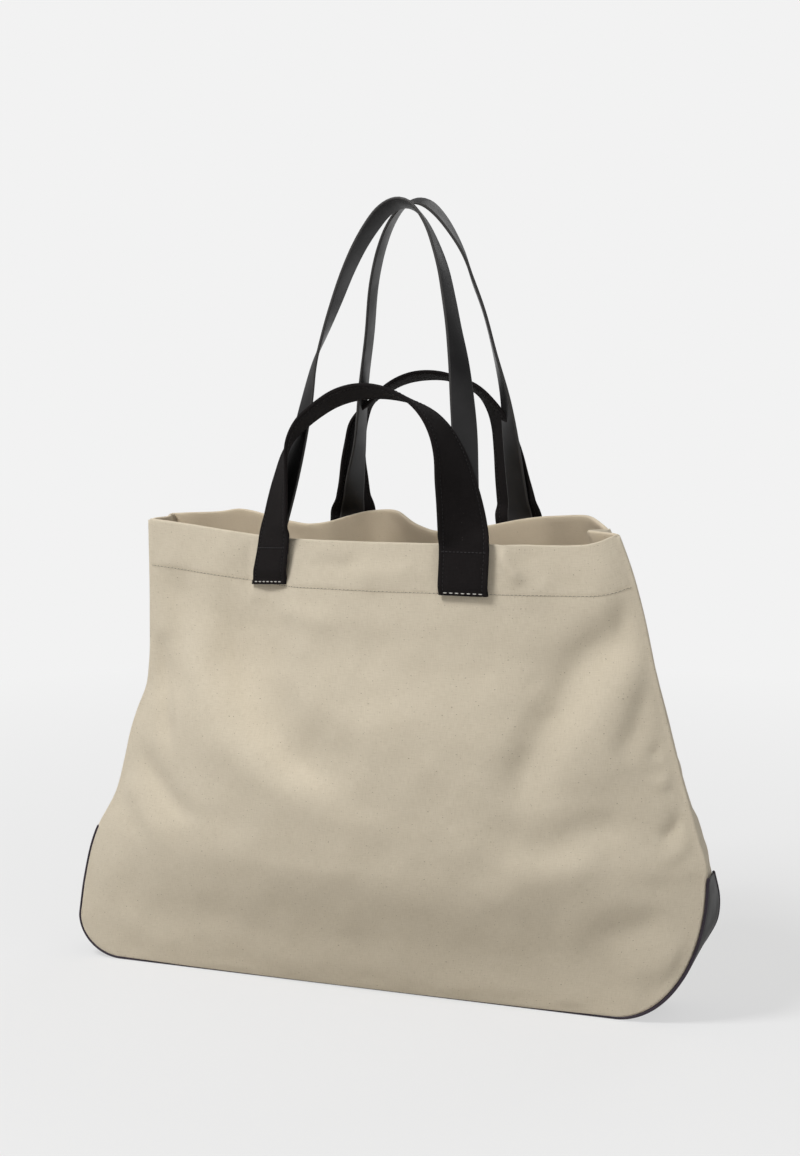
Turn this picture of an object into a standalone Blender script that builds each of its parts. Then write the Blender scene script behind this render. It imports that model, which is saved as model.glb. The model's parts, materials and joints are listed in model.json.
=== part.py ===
# Shopper bag: two canvas panels on a narrow canvas side strip, a leather strip under the base,
# two short webbing handles and two long leather straps sewn under them.
# Metres, +Z up. X runs along the mouth, Y from front to back.
# The origin is the middle of the underside.

import math

import bmesh
import bpy
from mathutils import Vector

# Body
RIM_HEIGHT = 0.380
RIM_SAG = 0.004
MOUTH_HALF_WIDTH = 0.200
BASE_HALF_WIDTH = 0.276
CORNER_REACH = 0.060
CORNER_RISE = 0.080
SEAM_HALF_DEPTH = 0.030
MOUTH_BULGE = 0.034
BODY_BULGE = 0.046
FULLEST_HEIGHT = 0.165
FLAT_START_HEIGHT = 0.270
PINCH_DEPTH = 0.016
PINCH_START_HEIGHT = 0.150
FOLD_RELIEF = 0.0065
FOLD_SPREAD = 0.016

# Cloth, leather and thread
CANVAS_THICKNESS = 0.0012
HEM_DEPTH = 0.040
HEM_STITCH_DEPTH = 0.0385
HEM_FOLD_RADIUS = 0.0015
HEM_END_INSET = 0.006
BASE_LEATHER_THICKNESS = 0.0022
BASE_LEATHER_HEIGHT = 0.115
BASE_LAP = 0.015
PIPING_RADIUS = 0.0011
PIPING_FLOOR_GAP = 0.0002
THREAD_RADIUS = 0.0004
THREAD_GAP = 0.0006
GAP = 0.0003

# Short webbing handles
HANDLE_WIDTH = 0.040
HANDLE_THICKNESS = 0.0024
HANDLE_HALF_SPAN = 0.080
HANDLE_RISE = 0.1225
HANDLE_LEAN = math.radians(0.5)
HANDLE_TWIST = math.radians(88)
HANDLE_TWIST_START = math.radians(20)
HANDLE_TWIST_END = math.radians(78)

# Long leather straps
STRAP_WIDTH = 0.021
STRAP_THICKNESS = 0.0026
STRAP_HALF_SPAN = 0.080
STRAP_RISE = 0.272
STRAP_LEAN = math.radians(11.2)
STRAP_TWIST = math.radians(86)
STRAP_TWIST_START = math.radians(20)
STRAP_TWIST_END = math.radians(65)

# Where the handles and straps are sewn on, measured down from the rim
FOLD_DEPTH = 0.0025
FOLD_AXIS_OFFSET = 0.0005
HANDLE_END_DEPTH = 0.0440
STRAP_END_DEPTH = 0.0425
END_BEVEL = 0.0004
END_THREAD_INSET = 0.002
FLAT_MARGIN = 0.004

# Shapes without a size
SIDE_CURVE_POWER = 1.25
STRAP_ARCH_POWER = 1.667
HANDLE_ARCH_POWER = 1.0
BASE_BULGE_POWER = 0.8
SAG_POWER = 4
PANEL_COLUMNS = 33
GUSSET_COLUMNS = 9
LOOP_STATIONS = 41
CORNER_STATIONS = 6
SIDE_STATIONS = 14
HEM_STATIONS = 2
FOLD_STATIONS = 4
VALLEY_LINE_SHARES = ((0.98, 0.83), (0.87, 0.77), (0.70, 0.64), (0.54, 0.48))
RIDGE_LINE_SHARES = ((0.97, 0.73), (0.85, 0.64), (0.69, 0.52), (0.55, 0.43))
HALVES = (("front", -1), ("back", 1))
SIDES = (("left", -1), ("right", 1))

PANEL_INSET = PIPING_FLOOR_GAP + 2 * PIPING_RADIUS + GAP
PANEL_EDGE_DEPTH = SEAM_HALF_DEPTH + PIPING_RADIUS
GUSSET_HALF_DEPTH = PANEL_EDGE_DEPTH - CANVAS_THICKNESS - GAP
BASE_HALF_DEPTH = SEAM_HALF_DEPTH - PIPING_RADIUS - GAP
RIM_LINE = RIM_HEIGHT - HEM_FOLD_RADIUS
HEM_STITCH_HEIGHT = RIM_HEIGHT - HEM_STITCH_DEPTH
FLAT_HALF_WIDTH = HANDLE_HALF_SPAN + HANDLE_WIDTH / 2 + FLAT_MARGIN
FOLD_HEIGHT = RIM_HEIGHT - FOLD_DEPTH
STRAP_DEPTH = PANEL_EDGE_DEPTH + MOUTH_BULGE + GAP + STRAP_THICKNESS / 2
HANDLE_DEPTH = STRAP_DEPTH + STRAP_THICKNESS / 2 + GAP + HANDLE_THICKNESS / 2
FOLD_AXIS_DEPTH = HANDLE_DEPTH + HANDLE_THICKNESS / 2 + FOLD_AXIS_OFFSET


def clear_scene():
    for obj in list(bpy.data.objects):
        bpy.data.objects.remove(obj, do_unlink=True)


def new_collection(name):
    collection = bpy.data.collections.new(name)
    bpy.context.scene.collection.children.link(collection)
    return collection


def new_material(name, color, roughness):
    material = bpy.data.materials.new(name)
    material.use_nodes = True
    shader = material.node_tree.nodes["Principled BSDF"]
    shader.inputs["Base Color"].default_value = (*color, 1)
    shader.inputs["Roughness"].default_value = roughness
    shader.inputs["Metallic"].default_value = 0
    material.diffuse_color = (*color, 1)
    return material


def smooth_step(value):
    value = min(max(value, 0), 1)
    return value * value * (3 - 2 * value)


def offset_line(points, distance):
    # Moves an open line of flat points to its left by a distance, with mitred corners.
    ends = [(b - a).normalized() for a, b in zip(points, points[1:])]
    before = [ends[0]] + ends
    after = ends + [ends[-1]]
    moved = []
    for point, first, second in zip(points, before, after):
        normal = Vector((-first.y - second.y, first.x + second.x)).normalized()
        spread = normal.dot(Vector((-first.y, first.x)))
        moved.append(point + normal * distance / spread)
    return moved


def side_half_width(height):
    # The side leaves the corner upright, sweeps in above it and is upright again at the mouth.
    share = max(height - CORNER_RISE, 0) / (RIM_HEIGHT - CORNER_RISE)
    drawn_in = math.sin(math.pi / 2 * share) ** SIDE_CURVE_POWER
    return BASE_HALF_WIDTH - (BASE_HALF_WIDTH - MOUTH_HALF_WIDTH) * drawn_in


def side_heights(top, bottom):
    # Heights down the straight part of the side, with the hem's own rows first.
    hem = [top - HEM_DEPTH * i / HEM_STATIONS for i in range(HEM_STATIONS)]
    low = top - HEM_DEPTH
    return hem + [low + (bottom - low) * i / SIDE_STATIONS for i in range(SIDE_STATIONS + 1)]


def seam_line(top, inset):
    # Right half of the bag's outline in X and Z, from a height down to the base, drawn in.
    line = [Vector((side_half_width(z), z)) for z in side_heights(top, CORNER_RISE)]
    for i in range(1, CORNER_STATIONS + 1):
        angle = math.pi / 2 * i / CORNER_STATIONS
        x = BASE_HALF_WIDTH - CORNER_REACH * (1 - math.cos(angle))
        line.append(Vector((x, CORNER_RISE * (1 - math.sin(angle)))))
    line.append(Vector((0, 0)))
    return offset_line(line, -inset)


def half_width_at(height, inset):
    line = seam_line(RIM_HEIGHT, inset)
    for high, low in zip(line, line[1:]):
        if low.y <= height <= high.y:
            share = (high.y - height) / (high.y - low.y)
            return high.x + (low.x - high.x) * share
    return line[0].x


def bulge(height):
    top = RIM_HEIGHT - HEM_DEPTH
    if height >= FULLEST_HEIGHT:
        share = (top - height) / (top - FULLEST_HEIGHT)
        return MOUTH_BULGE + (BODY_BULGE - MOUTH_BULGE) * smooth_step(share)
    share = math.sin(math.pi / 2 * height / FULLEST_HEIGHT)
    return BODY_BULGE * share**BASE_BULGE_POWER


def fold_share(x, height, half_width, line_shares):
    # How much a fold lifts this place: all of it on its line, and nothing at its ends.
    spot = Vector((abs(x), height))
    line = [Vector((across * half_width, up * RIM_HEIGHT)) for across, up in line_shares]
    lift = 0
    for i, (start, end) in enumerate(zip(line, line[1:])):
        way = end - start
        along = min(max((spot - start).dot(way) / way.length_squared, 0), 1)
        away = (spot - start - way * along).length / FOLD_SPREAD
        taper = math.sin(math.pi * (i + along) / (len(line) - 1))
        lift = max(lift, math.exp(-away * away) * taper)
    return lift


def folds(x, height, half_width):
    # On each half of a panel a valley runs from below the hem to the belly, with a ridge under it.
    ridge = fold_share(x, height, half_width, RIDGE_LINE_SHARES)
    valley = fold_share(x, height, half_width, VALLEY_LINE_SHARES)
    from_seam = smooth_step((half_width - abs(x)) / FOLD_SPREAD)
    return FOLD_RELIEF * (ridge - valley) * from_seam


def panel_depth(x, height, half_width):
    # Distance of a panel's outer face from the middle plane. It is flat where bands are sewn on.
    share = (height - FLAT_START_HEIGHT) / (RIM_HEIGHT - HEM_DEPTH - FLAT_START_HEIGHT)
    flat = FLAT_HALF_WIDTH * smooth_step(share)
    away = max(abs(x) - flat, 0) / (half_width - flat)
    swell = max(bulge(height), 0) * (1 - away * away)
    return PANEL_EDGE_DEPTH + swell + folds(x, height, half_width)


def sagged(x, height, half_width):
    share = (height / RIM_HEIGHT) ** SAG_POWER
    return height - RIM_SAG * share * (1 - (x / half_width) ** 2)


def panel_line(height, half_width, reach):
    xs = [reach * (2 * i / (PANEL_COLUMNS - 1) - 1) for i in range(PANEL_COLUMNS)]
    return [Vector((x, -panel_depth(x, height, half_width))) for x in xs]


def gusset_line(height):
    # The side strip's outer face on the right, from front to back, drawn in at the middle.
    half_width = half_width_at(height, PANEL_INSET)
    share = (height - PINCH_START_HEIGHT) / (RIM_HEIGHT - PINCH_START_HEIGHT)
    pinch = PINCH_DEPTH * smooth_step(share)
    line = []
    for i in range(GUSSET_COLUMNS):
        across = 2 * i / (GUSSET_COLUMNS - 1) - 1
        x = half_width - pinch * (1 + math.cos(math.pi * across)) / 2
        line.append(Vector((x, GUSSET_HALF_DEPTH * across)))
    return line


def hem_rows(line_at, top):
    # The rows of a turned-in hem: over the rim and down the inside.
    rows = []
    for i in range(1, FOLD_STATIONS + 1):
        angle = math.pi * i / FOLD_STATIONS
        inset = HEM_END_INSET * min(2 * i / FOLD_STATIONS, 1)
        inward = HEM_FOLD_RADIUS * (1 - math.cos(angle))
        rise = HEM_FOLD_RADIUS * math.sin(angle)
        rows.append((offset_line(line_at(top, inset), inward), top + rise))
    for i in range(1, HEM_STATIONS + 1):
        height = top - HEM_DEPTH * i / HEM_STATIONS
        line = offset_line(line_at(height, HEM_END_INSET), 2 * HEM_FOLD_RADIUS)
        rows.append((line, height))
    return rows


def sheet(name, rows, thickness, offset, material, collection):
    # An open surface through rows of points, made thick.
    mesh = bpy.data.meshes.new(name)
    build = bmesh.new()
    grid = [[build.verts.new(point) for point in row] for row in rows]
    for row, above in zip(grid, grid[1:]):
        for i in range(len(row) - 1):
            build.faces.new((row[i], row[i + 1], above[i + 1], above[i]))
    build.to_mesh(mesh)
    build.free()
    mesh.materials.append(material)
    mesh.shade_smooth()
    obj = bpy.data.objects.new(name, mesh)
    collection.objects.link(obj)
    solid = obj.modifiers.new("thickness", "SOLIDIFY")
    solid.thickness = thickness
    solid.offset = offset
    solid.use_even_offset = True
    solid.use_quality_normals = True
    return obj


def tube(name, points, radius, sides, material, collection):
    curve = bpy.data.curves.new(name, "CURVE")
    curve.dimensions = "3D"
    curve.bevel_depth = radius
    curve.bevel_resolution = sides
    curve.use_fill_caps = True
    spline = curve.splines.new("POLY")
    spline.points.add(len(points) - 1)
    for spot, point in zip(spline.points, points):
        spot.co = (*point, 1)
    curve.materials.append(material)
    obj = bpy.data.objects.new(name, curve)
    collection.objects.link(obj)
    return obj


def block(name, centre, size, material, collection):
    # A flat sewn end: a cube brought to size, with softened edges.
    mesh = bpy.data.meshes.new(name)
    build = bmesh.new()
    bmesh.ops.create_cube(build, size=1)
    bmesh.ops.scale(build, vec=size, verts=build.verts)
    build.to_mesh(mesh)
    build.free()
    mesh.materials.append(material)
    obj = bpy.data.objects.new(name, mesh)
    obj.location = centre
    collection.objects.link(obj)
    edge = obj.modifiers.new("soft_edge", "BEVEL")
    edge.width = END_BEVEL
    edge.segments = 1
    return obj


def make_panel(half, sign, material, collection):
    rows = []
    for half_width, height in reversed(seam_line(RIM_LINE, PANEL_INSET)[:-1]):
        rows.append((panel_line(height, half_width, half_width), height, half_width))
    mouth = rows[-1][2]

    def line_at(height, inset):
        width = half_width_at(height, PANEL_INSET)
        return panel_line(height, width, width - inset)

    rows += [(line, height, mouth) for line, height in hem_rows(line_at, RIM_LINE)]
    points = []
    for line, height, width in rows:
        spots = [(p.x, -sign * p.y, sagged(p.x, height, width)) for p in line]
        points.append(spots if sign < 0 else spots[::-1])
    sheet(f"{half}_panel", points, CANVAS_THICKNESS, -1, material, collection)


def make_gusset(side, sign, material, collection):
    low = BASE_LEATHER_HEIGHT - BASE_LAP
    heights = side_heights(RIM_LINE, low)[::-1]
    rows = [(gusset_line(height), height) for height in heights]
    rows += hem_rows(lambda height, inset: gusset_line(height), RIM_LINE)
    points = []
    for line, height in rows:
        spots = [(sign * p.x, p.y, height) for p in line]
        points.append(spots if sign > 0 else spots[::-1])
    sheet(f"{side}_gusset", points, CANVAS_THICKNESS, -1, material, collection)


def base_run(inset):
    # The full run in X and Z under the base, between the tops of the leather.
    right = [p for p in seam_line(RIM_HEIGHT, inset) if p.y < BASE_LEATHER_HEIGHT]
    top = Vector((half_width_at(BASE_LEATHER_HEIGHT, inset), BASE_LEATHER_HEIGHT))
    right = [top] + right
    return [Vector((-p.x, p.y)) for p in right[:-1]] + right[::-1]


def make_base(leather, piping, collection):
    rows = [
        [(p.x, -BASE_HALF_DEPTH, p.y), (p.x, BASE_HALF_DEPTH, p.y)] for p in base_run(0)
    ]
    sheet("base_strip", rows, BASE_LEATHER_THICKNESS, -1, leather, collection)
    middle = PIPING_FLOOR_GAP + PIPING_RADIUS
    for half, sign in HALVES:
        points = [(p.x, sign * SEAM_HALF_DEPTH, p.y) for p in base_run(middle)]
        tube(f"{half}_piping", points, PIPING_RADIUS, 1, piping, collection)


def make_hem_threads(material, collection):
    height = HEM_STITCH_HEIGHT
    half_width = half_width_at(height, PANEL_INSET)
    reach = FLAT_HALF_WIDTH - HANDLE_WIDTH - 2 * FLAT_MARGIN
    stand = THREAD_RADIUS + THREAD_GAP
    for half, sign in HALVES:
        line = [Vector((x, -panel_depth(x, height, half_width))) for x in (-reach, reach)]
        points = [
            (p.x, -sign * (p.y - stand), sagged(p.x, height, half_width)) for p in line
        ]
        tube(f"{half}_hem_thread", points, THREAD_RADIUS, 1, material, collection)
    step = (half_width - FLAT_HALF_WIDTH) / (GUSSET_COLUMNS - 1)
    front = []
    for i in range(GUSSET_COLUMNS):
        x = FLAT_HALF_WIDTH + step * i
        front.append(Vector((x, -panel_depth(x, height, half_width))))
    back = [Vector((p.x, -p.y)) for p in front[::-1]]
    line = offset_line(front + gusset_line(height)[1:-1] + back, -stand)
    for side, sign in SIDES:
        points = [(sign * p.x, p.y, height) for p in line]
        tube(f"{side}_hem_thread", points, THREAD_RADIUS, 1, material, collection)


def make_sewn_ends(webbing, leather, thread, collection):
    for half, sign in HALVES:
        for side, across in SIDES:
            for kind, depth, low, width, thickness, material in (
                ("handle", HANDLE_DEPTH, HANDLE_END_DEPTH, HANDLE_WIDTH, HANDLE_THICKNESS, webbing),
                ("strap", STRAP_DEPTH, STRAP_END_DEPTH, STRAP_WIDTH, STRAP_THICKNESS, leather),
            ):
                top = FOLD_HEIGHT - GAP
                bottom = RIM_HEIGHT - low
                centre = (across * HANDLE_HALF_SPAN, sign * depth, (top + bottom) / 2)
                size = (width, thickness, top - bottom)
                block(f"{half}_{kind}_{side}_end", centre, size, material, collection)
            reach = HANDLE_WIDTH / 2 - END_THREAD_INSET
            y = sign * (HANDLE_DEPTH + HANDLE_THICKNESS / 2 + THREAD_RADIUS + GAP)
            points = [
                (across * HANDLE_HALF_SPAN + end * reach, y, HEM_STITCH_HEIGHT) for end in (-1, 1)
            ]
            name = f"{half}_{side}_end_thread"
            tube(name, points, THREAD_RADIUS, 1, thread, collection)


def loop_rows(span, rise, power, lean, twist, start, end, width):
    # A flat band that rises from two legs and turns edge-on over the top.
    # The rows hold its two edges, with the band's root line at the origin.
    up = Vector((0, math.sin(lean), math.cos(lean)))
    inward = Vector((0, math.cos(lean), -math.sin(lean)))
    across = Vector((1, 0, 0))
    angles = [math.pi * i / (LOOP_STATIONS - 1) for i in range(LOOP_STATIONS)]
    line = []
    for angle in angles:
        height = rise * max(math.sin(angle), 0) ** power
        line.append(Vector((span * math.cos(angle), height)))
    line[0].y = 0
    line[-1].y = 0
    rows = []
    for i, angle in enumerate(angles):
        ahead = line[min(i + 1, len(line) - 1)] - line[max(i - 1, 0)]
        if i in (0, len(line) - 1):
            ahead = Vector((0, 1 if i == 0 else -1))
        ahead.normalize()
        outward = across * ahead.y - up * ahead.x
        from_leg = min(angle, math.pi - angle)
        turn = twist * smooth_step((from_leg - start) / (end - start))
        edge = (outward * math.cos(turn) + inward * math.sin(turn)) * width / 2
        middle = across * line[i].x + up * line[i].y
        rows.append([middle - edge, middle + edge])
    return rows


def make_loops(webbing, leather, collection):
    strap = (STRAP_HALF_SPAN, STRAP_RISE, STRAP_ARCH_POWER, STRAP_LEAN)
    strap += (STRAP_TWIST, STRAP_TWIST_START, STRAP_TWIST_END, STRAP_WIDTH)
    handle = (HANDLE_HALF_SPAN, HANDLE_RISE, HANDLE_ARCH_POWER, HANDLE_LEAN)
    handle += (HANDLE_TWIST, HANDLE_TWIST_START, HANDLE_TWIST_END, HANDLE_WIDTH)
    kinds = (
        ("strap", strap, STRAP_DEPTH, STRAP_THICKNESS, leather),
        ("handle", handle, HANDLE_DEPTH, HANDLE_THICKNESS, webbing),
    )
    for half, sign in HALVES:
        carrier = None
        for kind, shape, depth, thickness, material in kinds:
            fold = bpy.data.objects.new(f"{half}_{kind}_fold", None)
            fold.empty_display_size = HANDLE_WIDTH
            collection.objects.link(fold)
            if carrier:
                fold.parent = carrier
            else:
                fold.location = (0, sign * FOLD_AXIS_DEPTH, FOLD_HEIGHT)
            carrier = fold
            rows = []
            for row in loop_rows(*shape):
                row = [(p.x, sign * (depth - FOLD_AXIS_DEPTH - p.y), p.z) for p in row]
                rows.append(row if sign < 0 else row[::-1])
            loop = sheet(f"{half}_{kind}", rows, thickness, 0, material, collection)
            loop.parent = fold


def main():
    clear_scene()
    parts = new_collection("shopper_bag")
    canvas = new_material("natural_canvas", (0.74, 0.68, 0.57), 0.90)
    base_leather = new_material("base_leather", (0.030, 0.028, 0.030), 0.48)
    piping = new_material("piping_leather", (0.022, 0.018, 0.024), 0.45)
    webbing = new_material("handle_webbing", (0.018, 0.017, 0.018), 0.85)
    strap_leather = new_material("strap_leather", (0.020, 0.019, 0.021), 0.42)
    hem_thread = new_material("hem_thread", (0.30, 0.26, 0.20), 0.80)
    end_thread = new_material("end_thread", (0.80, 0.79, 0.77), 0.80)
    for half, sign in HALVES:
        make_panel(half, sign, canvas, parts)
    for side, sign in SIDES:
        make_gusset(side, sign, canvas, parts)
    make_base(base_leather, piping, parts)
    make_hem_threads(hem_thread, parts)
    make_sewn_ends(webbing, strap_leather, end_thread, parts)
    make_loops(webbing, strap_leather, parts)


main()
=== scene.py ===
import json
import math

import bmesh
import bpy
import numpy as np
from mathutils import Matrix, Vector


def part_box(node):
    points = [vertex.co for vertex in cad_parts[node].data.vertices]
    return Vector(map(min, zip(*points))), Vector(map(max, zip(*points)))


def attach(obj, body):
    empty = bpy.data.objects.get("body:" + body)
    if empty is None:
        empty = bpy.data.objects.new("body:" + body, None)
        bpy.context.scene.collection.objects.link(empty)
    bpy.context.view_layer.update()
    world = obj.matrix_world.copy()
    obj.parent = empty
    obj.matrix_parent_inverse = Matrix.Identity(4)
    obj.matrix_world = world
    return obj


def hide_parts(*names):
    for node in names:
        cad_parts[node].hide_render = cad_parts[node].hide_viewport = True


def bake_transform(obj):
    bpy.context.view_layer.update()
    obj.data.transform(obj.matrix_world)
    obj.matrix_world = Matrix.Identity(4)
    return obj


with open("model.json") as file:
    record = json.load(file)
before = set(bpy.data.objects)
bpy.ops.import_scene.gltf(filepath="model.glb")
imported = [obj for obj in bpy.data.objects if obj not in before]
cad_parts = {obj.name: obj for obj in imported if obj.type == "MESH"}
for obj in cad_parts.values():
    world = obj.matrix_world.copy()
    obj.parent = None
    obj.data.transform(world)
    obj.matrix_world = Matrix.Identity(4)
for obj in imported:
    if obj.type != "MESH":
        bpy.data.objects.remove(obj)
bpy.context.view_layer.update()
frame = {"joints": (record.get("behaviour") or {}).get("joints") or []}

print("Frame loaded")

# The bag's form, in metres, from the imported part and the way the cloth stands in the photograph.
# Seams are (height, reach from the middle), and corners (reach, rise) of their rounding.
# Mouths are (x, depth, height) of the rim's fold. A roll is how far a panel rounds out beside
# a seam, and over what width. A pinch is (amount, place along the strip, width).
panelLow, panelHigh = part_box("front_panel")
foldPoint = frame["joints"][0]["pos_m"]  # on the hinge line at the front rim
touch = 0.0003  # the least gap between two pieces that lie on each other

bag = {
    "rim": panelHigh.z,
    "seamInset": panelLow.z,
    "clothGap": {"left": 0.0006, "right": 0.0027, "bottom": 0.0010},
    "seamDepth": -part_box("front_piping")[0].y,
    "bodyDepth": -panelLow.y - 0.006,
    "fullest": 0.165,
    "fullness": 0.8,
    "hem": 0.040,
    "stitchDrop": 0.0385,
    "foldRadius": 0.0015,
    "clothThickness": 0.0012,
    "edgeRound": 0.0025,
    "seamTuck": 0.0022,
    "tuckShare": 0.14,
    "underLeather": 0.013,
    "leatherTop": {
        "left": (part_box("base_strip")[1].z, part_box("base_strip")[1].z),
        "right": (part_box("base_strip")[1].z + 0.008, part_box("base_strip")[1].z - 0.003),
    },
    "leftCorner": (0.038, 0.036),
    "rightCorner": (0.074, 0.118),
    "leftSeam": (
        (0.036, 0.276), (0.070, 0.2705), (0.110, 0.2595), (0.147, 0.2396), (0.178, 0.2306),
        (0.200, 0.2252), (0.220, 0.2182), (0.240, 0.2098), (0.260, 0.2068), (0.300, 0.2055),
        (0.385, 0.2055),
    ),
    "rightSeam": (
        (0.118, 0.2768), (0.130, 0.2778), (0.150, 0.2718), (0.187, 0.2606), (0.230, 0.2480),
        (0.274, 0.2350), (0.323, 0.2225), (0.350, 0.214), (0.385, 0.200),
    ),
    "backDrawnIn": {
        "left": ((0.000, 0.0), (0.250, 0.0), (0.320, -0.0035), (0.385, -0.0105)),
        "right": (
            (0.000, 0.0000), (0.015, 0.0010), (0.030, 0.0045), (0.044, 0.0066), (0.058, 0.0045),
            (0.072, 0.0022), (0.090, 0.0041), (0.112, 0.0108), (0.130, 0.0155), (0.160, 0.0185),
            (0.250, 0.0188), (0.300, 0.0195), (0.345, 0.0220), (0.385, 0.0260),
        ),
    },
    "roll": {"left": (0.0110, 0.009), "right": (0.0035, 0.008)},
    "rollFrom": 0.04,
    "rollFull": 0.12,
    "hemLean": {"front": 0.12, "back": 0.09},
    "sag": {"depth": 0.0046, "height": 0.285, "reach": 0.036},
    "pinch": {"left": (0.006, 0.0, 0.60), "right": (0.020, 0.1, 0.40)},
    "pinchFrom": 0.150,
    "wavesFrom": 0.20,
    "frontMouth": (
        (-0.205, 0.0311, 0.3818), (-0.180, 0.0330, 0.3805), (-0.155, 0.0357, 0.3790),
        (-0.130, 0.0385, 0.3773), (-0.108, 0.0412, 0.3760), (-0.093, 0.0450, 0.3757),
        (-0.0785, 0.0530, 0.3764), (-0.064, 0.0612, 0.3776), (-0.048, 0.0648, 0.3786),
        (0.010, 0.0657, 0.3800), (0.050, 0.0645, 0.3812), (0.085, 0.0605, 0.3820),
        (0.125, 0.0520, 0.3823), (0.150, 0.0460, 0.3823), (0.165, 0.0437, 0.3827),
        (0.180, 0.0422, 0.3842), (0.190, 0.0385, 0.3870), (0.197, 0.0335, 0.3900),
        (0.200, 0.0311, 0.3910),
    ),
    "backMouth": (
        (-0.215, 0.0311, 0.3772), (-0.198, 0.0360, 0.3780), (-0.177, 0.0460, 0.3786),
        (-0.160, 0.0500, 0.3812), (-0.148, 0.0505, 0.3803), (-0.134, 0.0490, 0.3779),
        (-0.108, 0.0455, 0.3742), (-0.091, 0.0445, 0.3733), (-0.076, 0.0475, 0.3755),
        (-0.064, 0.0580, 0.3790), (-0.052, 0.0680, 0.3820), (-0.042, 0.0705, 0.3836),
        (-0.022, 0.0680, 0.3845), (0.001, 0.0550, 0.3765), (0.0186, 0.0480, 0.3731),
        (0.040, 0.0520, 0.3745), (0.063, 0.0600, 0.3780), (0.085, 0.0640, 0.3830),
        (0.106, 0.0650, 0.3868), (0.131, 0.0600, 0.3901), (0.143, 0.0560, 0.3913),
        (0.1535, 0.0500, 0.3918), (0.162, 0.0420, 0.3906), (0.174, 0.0311, 0.3863),
    ),
}

# Folds in the cloth: the line of each as (x, height), its width on the left and on the right
# of the way along it, and how far it stands out, or in where that is negative.
frontFolds = (
    (((-0.122, 0.385), (-0.121, 0.304), (-0.108, 0.258), (-0.085, 0.228), (-0.058, 0.204),
      (-0.024, 0.193), (0.020, 0.196)), (0.038, 0.018), -0.0118),
    (((-0.165, 0.345), (-0.155, 0.260), (-0.110, 0.205), (-0.050, 0.176), (0.010, 0.172)),
     (0.022, 0.030), 0.0050),
    (((-0.217, 0.192), (-0.185, 0.160), (-0.148, 0.133)), (0.012, 0.009), -0.0042),
    (((-0.232, 0.166), (-0.200, 0.135), (-0.165, 0.108)), (0.012, 0.012), 0.0030),
    (((-0.182, 0.352), (-0.177, 0.320), (-0.174, 0.288), (-0.177, 0.255), (-0.184, 0.230)),
     (0.018, 0.014), -0.0050),
    (((-0.197, 0.292), (-0.194, 0.272), (-0.188, 0.241), (-0.181, 0.209), (-0.174, 0.186)),
     (0.008, 0.009), -0.0038),
    (((0.252, 0.332), (0.226, 0.322), (0.207, 0.315), (0.184, 0.298), (0.170, 0.277),
      (0.155, 0.249), (0.142, 0.212), (0.133, 0.180), (0.124, 0.145)), (0.022, 0.016), -0.0080),
    (((0.222, 0.305), (0.205, 0.265), (0.186, 0.225), (0.165, 0.190)), (0.026, 0.024), 0.0040),
    (((0.085, 0.150), (0.120, 0.152), (0.147, 0.148), (0.181, 0.157), (0.208, 0.168), (0.236, 0.184)),
     (0.014, 0.018), -0.0046),
    (((0.110, 0.118), (0.160, 0.126), (0.205, 0.140)), (0.012, 0.016), 0.0022),
    (((0.228, 0.282), (0.220, 0.245), (0.206, 0.212)), (0.010, 0.010), -0.0034),
    (((0.253, 0.238), (0.241, 0.228), (0.226, 0.216)), (0.004, 0.005), -0.0022),
    (((0.258, 0.216), (0.247, 0.205), (0.232, 0.192)), (0.004, 0.004), 0.0020),
    (((0.269, 0.165), (0.257, 0.148), (0.240, 0.134)), (0.005, 0.006), 0.0020),
    (((0.263, 0.186), (0.252, 0.168), (0.238, 0.150)), (0.005, 0.005), -0.0028),
    (((0.250, 0.093), (0.215, 0.083), (0.180, 0.072)), (0.010, 0.010), -0.0030),
    (((0.262, 0.080), (0.235, 0.052), (0.200, 0.030)), (0.016, 0.016), 0.0030),
    (((0.108, 0.380), (0.117, 0.364), (0.131, 0.346)), (0.006, 0.006), 0.0044),
    (((0.126, 0.379), (0.136, 0.362), (0.148, 0.350)), (0.007, 0.007), -0.0012),
    (((-0.012, 0.356), (0.018, 0.354), (0.050, 0.358)), (0.008, 0.010), 0.0018),
    (((-0.045, 0.366), (-0.020, 0.360), (0.000, 0.366)), (0.006, 0.007), -0.0012),
    (((-0.108, 0.377), (-0.105, 0.352), (-0.108, 0.327)), (0.006, 0.007), -0.0016),
    (((-0.080, 0.330), (-0.050, 0.318), (-0.015, 0.312)), (0.010, 0.012), 0.0020),
    (((0.140, 0.272), (0.150, 0.262), (0.156, 0.250)), (0.012, 0.012), 0.0016),
    (((0.010, 0.260), (0.030, 0.215), (0.070, 0.170)), (0.026, 0.026), 0.0022),
    (((-0.020, 0.130), (0.060, 0.118), (0.120, 0.100)), (0.022, 0.024), -0.0018),
    (((-0.252, 0.090), (-0.236, 0.050), (-0.205, 0.022)), (0.012, 0.014), 0.0016),
)
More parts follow.
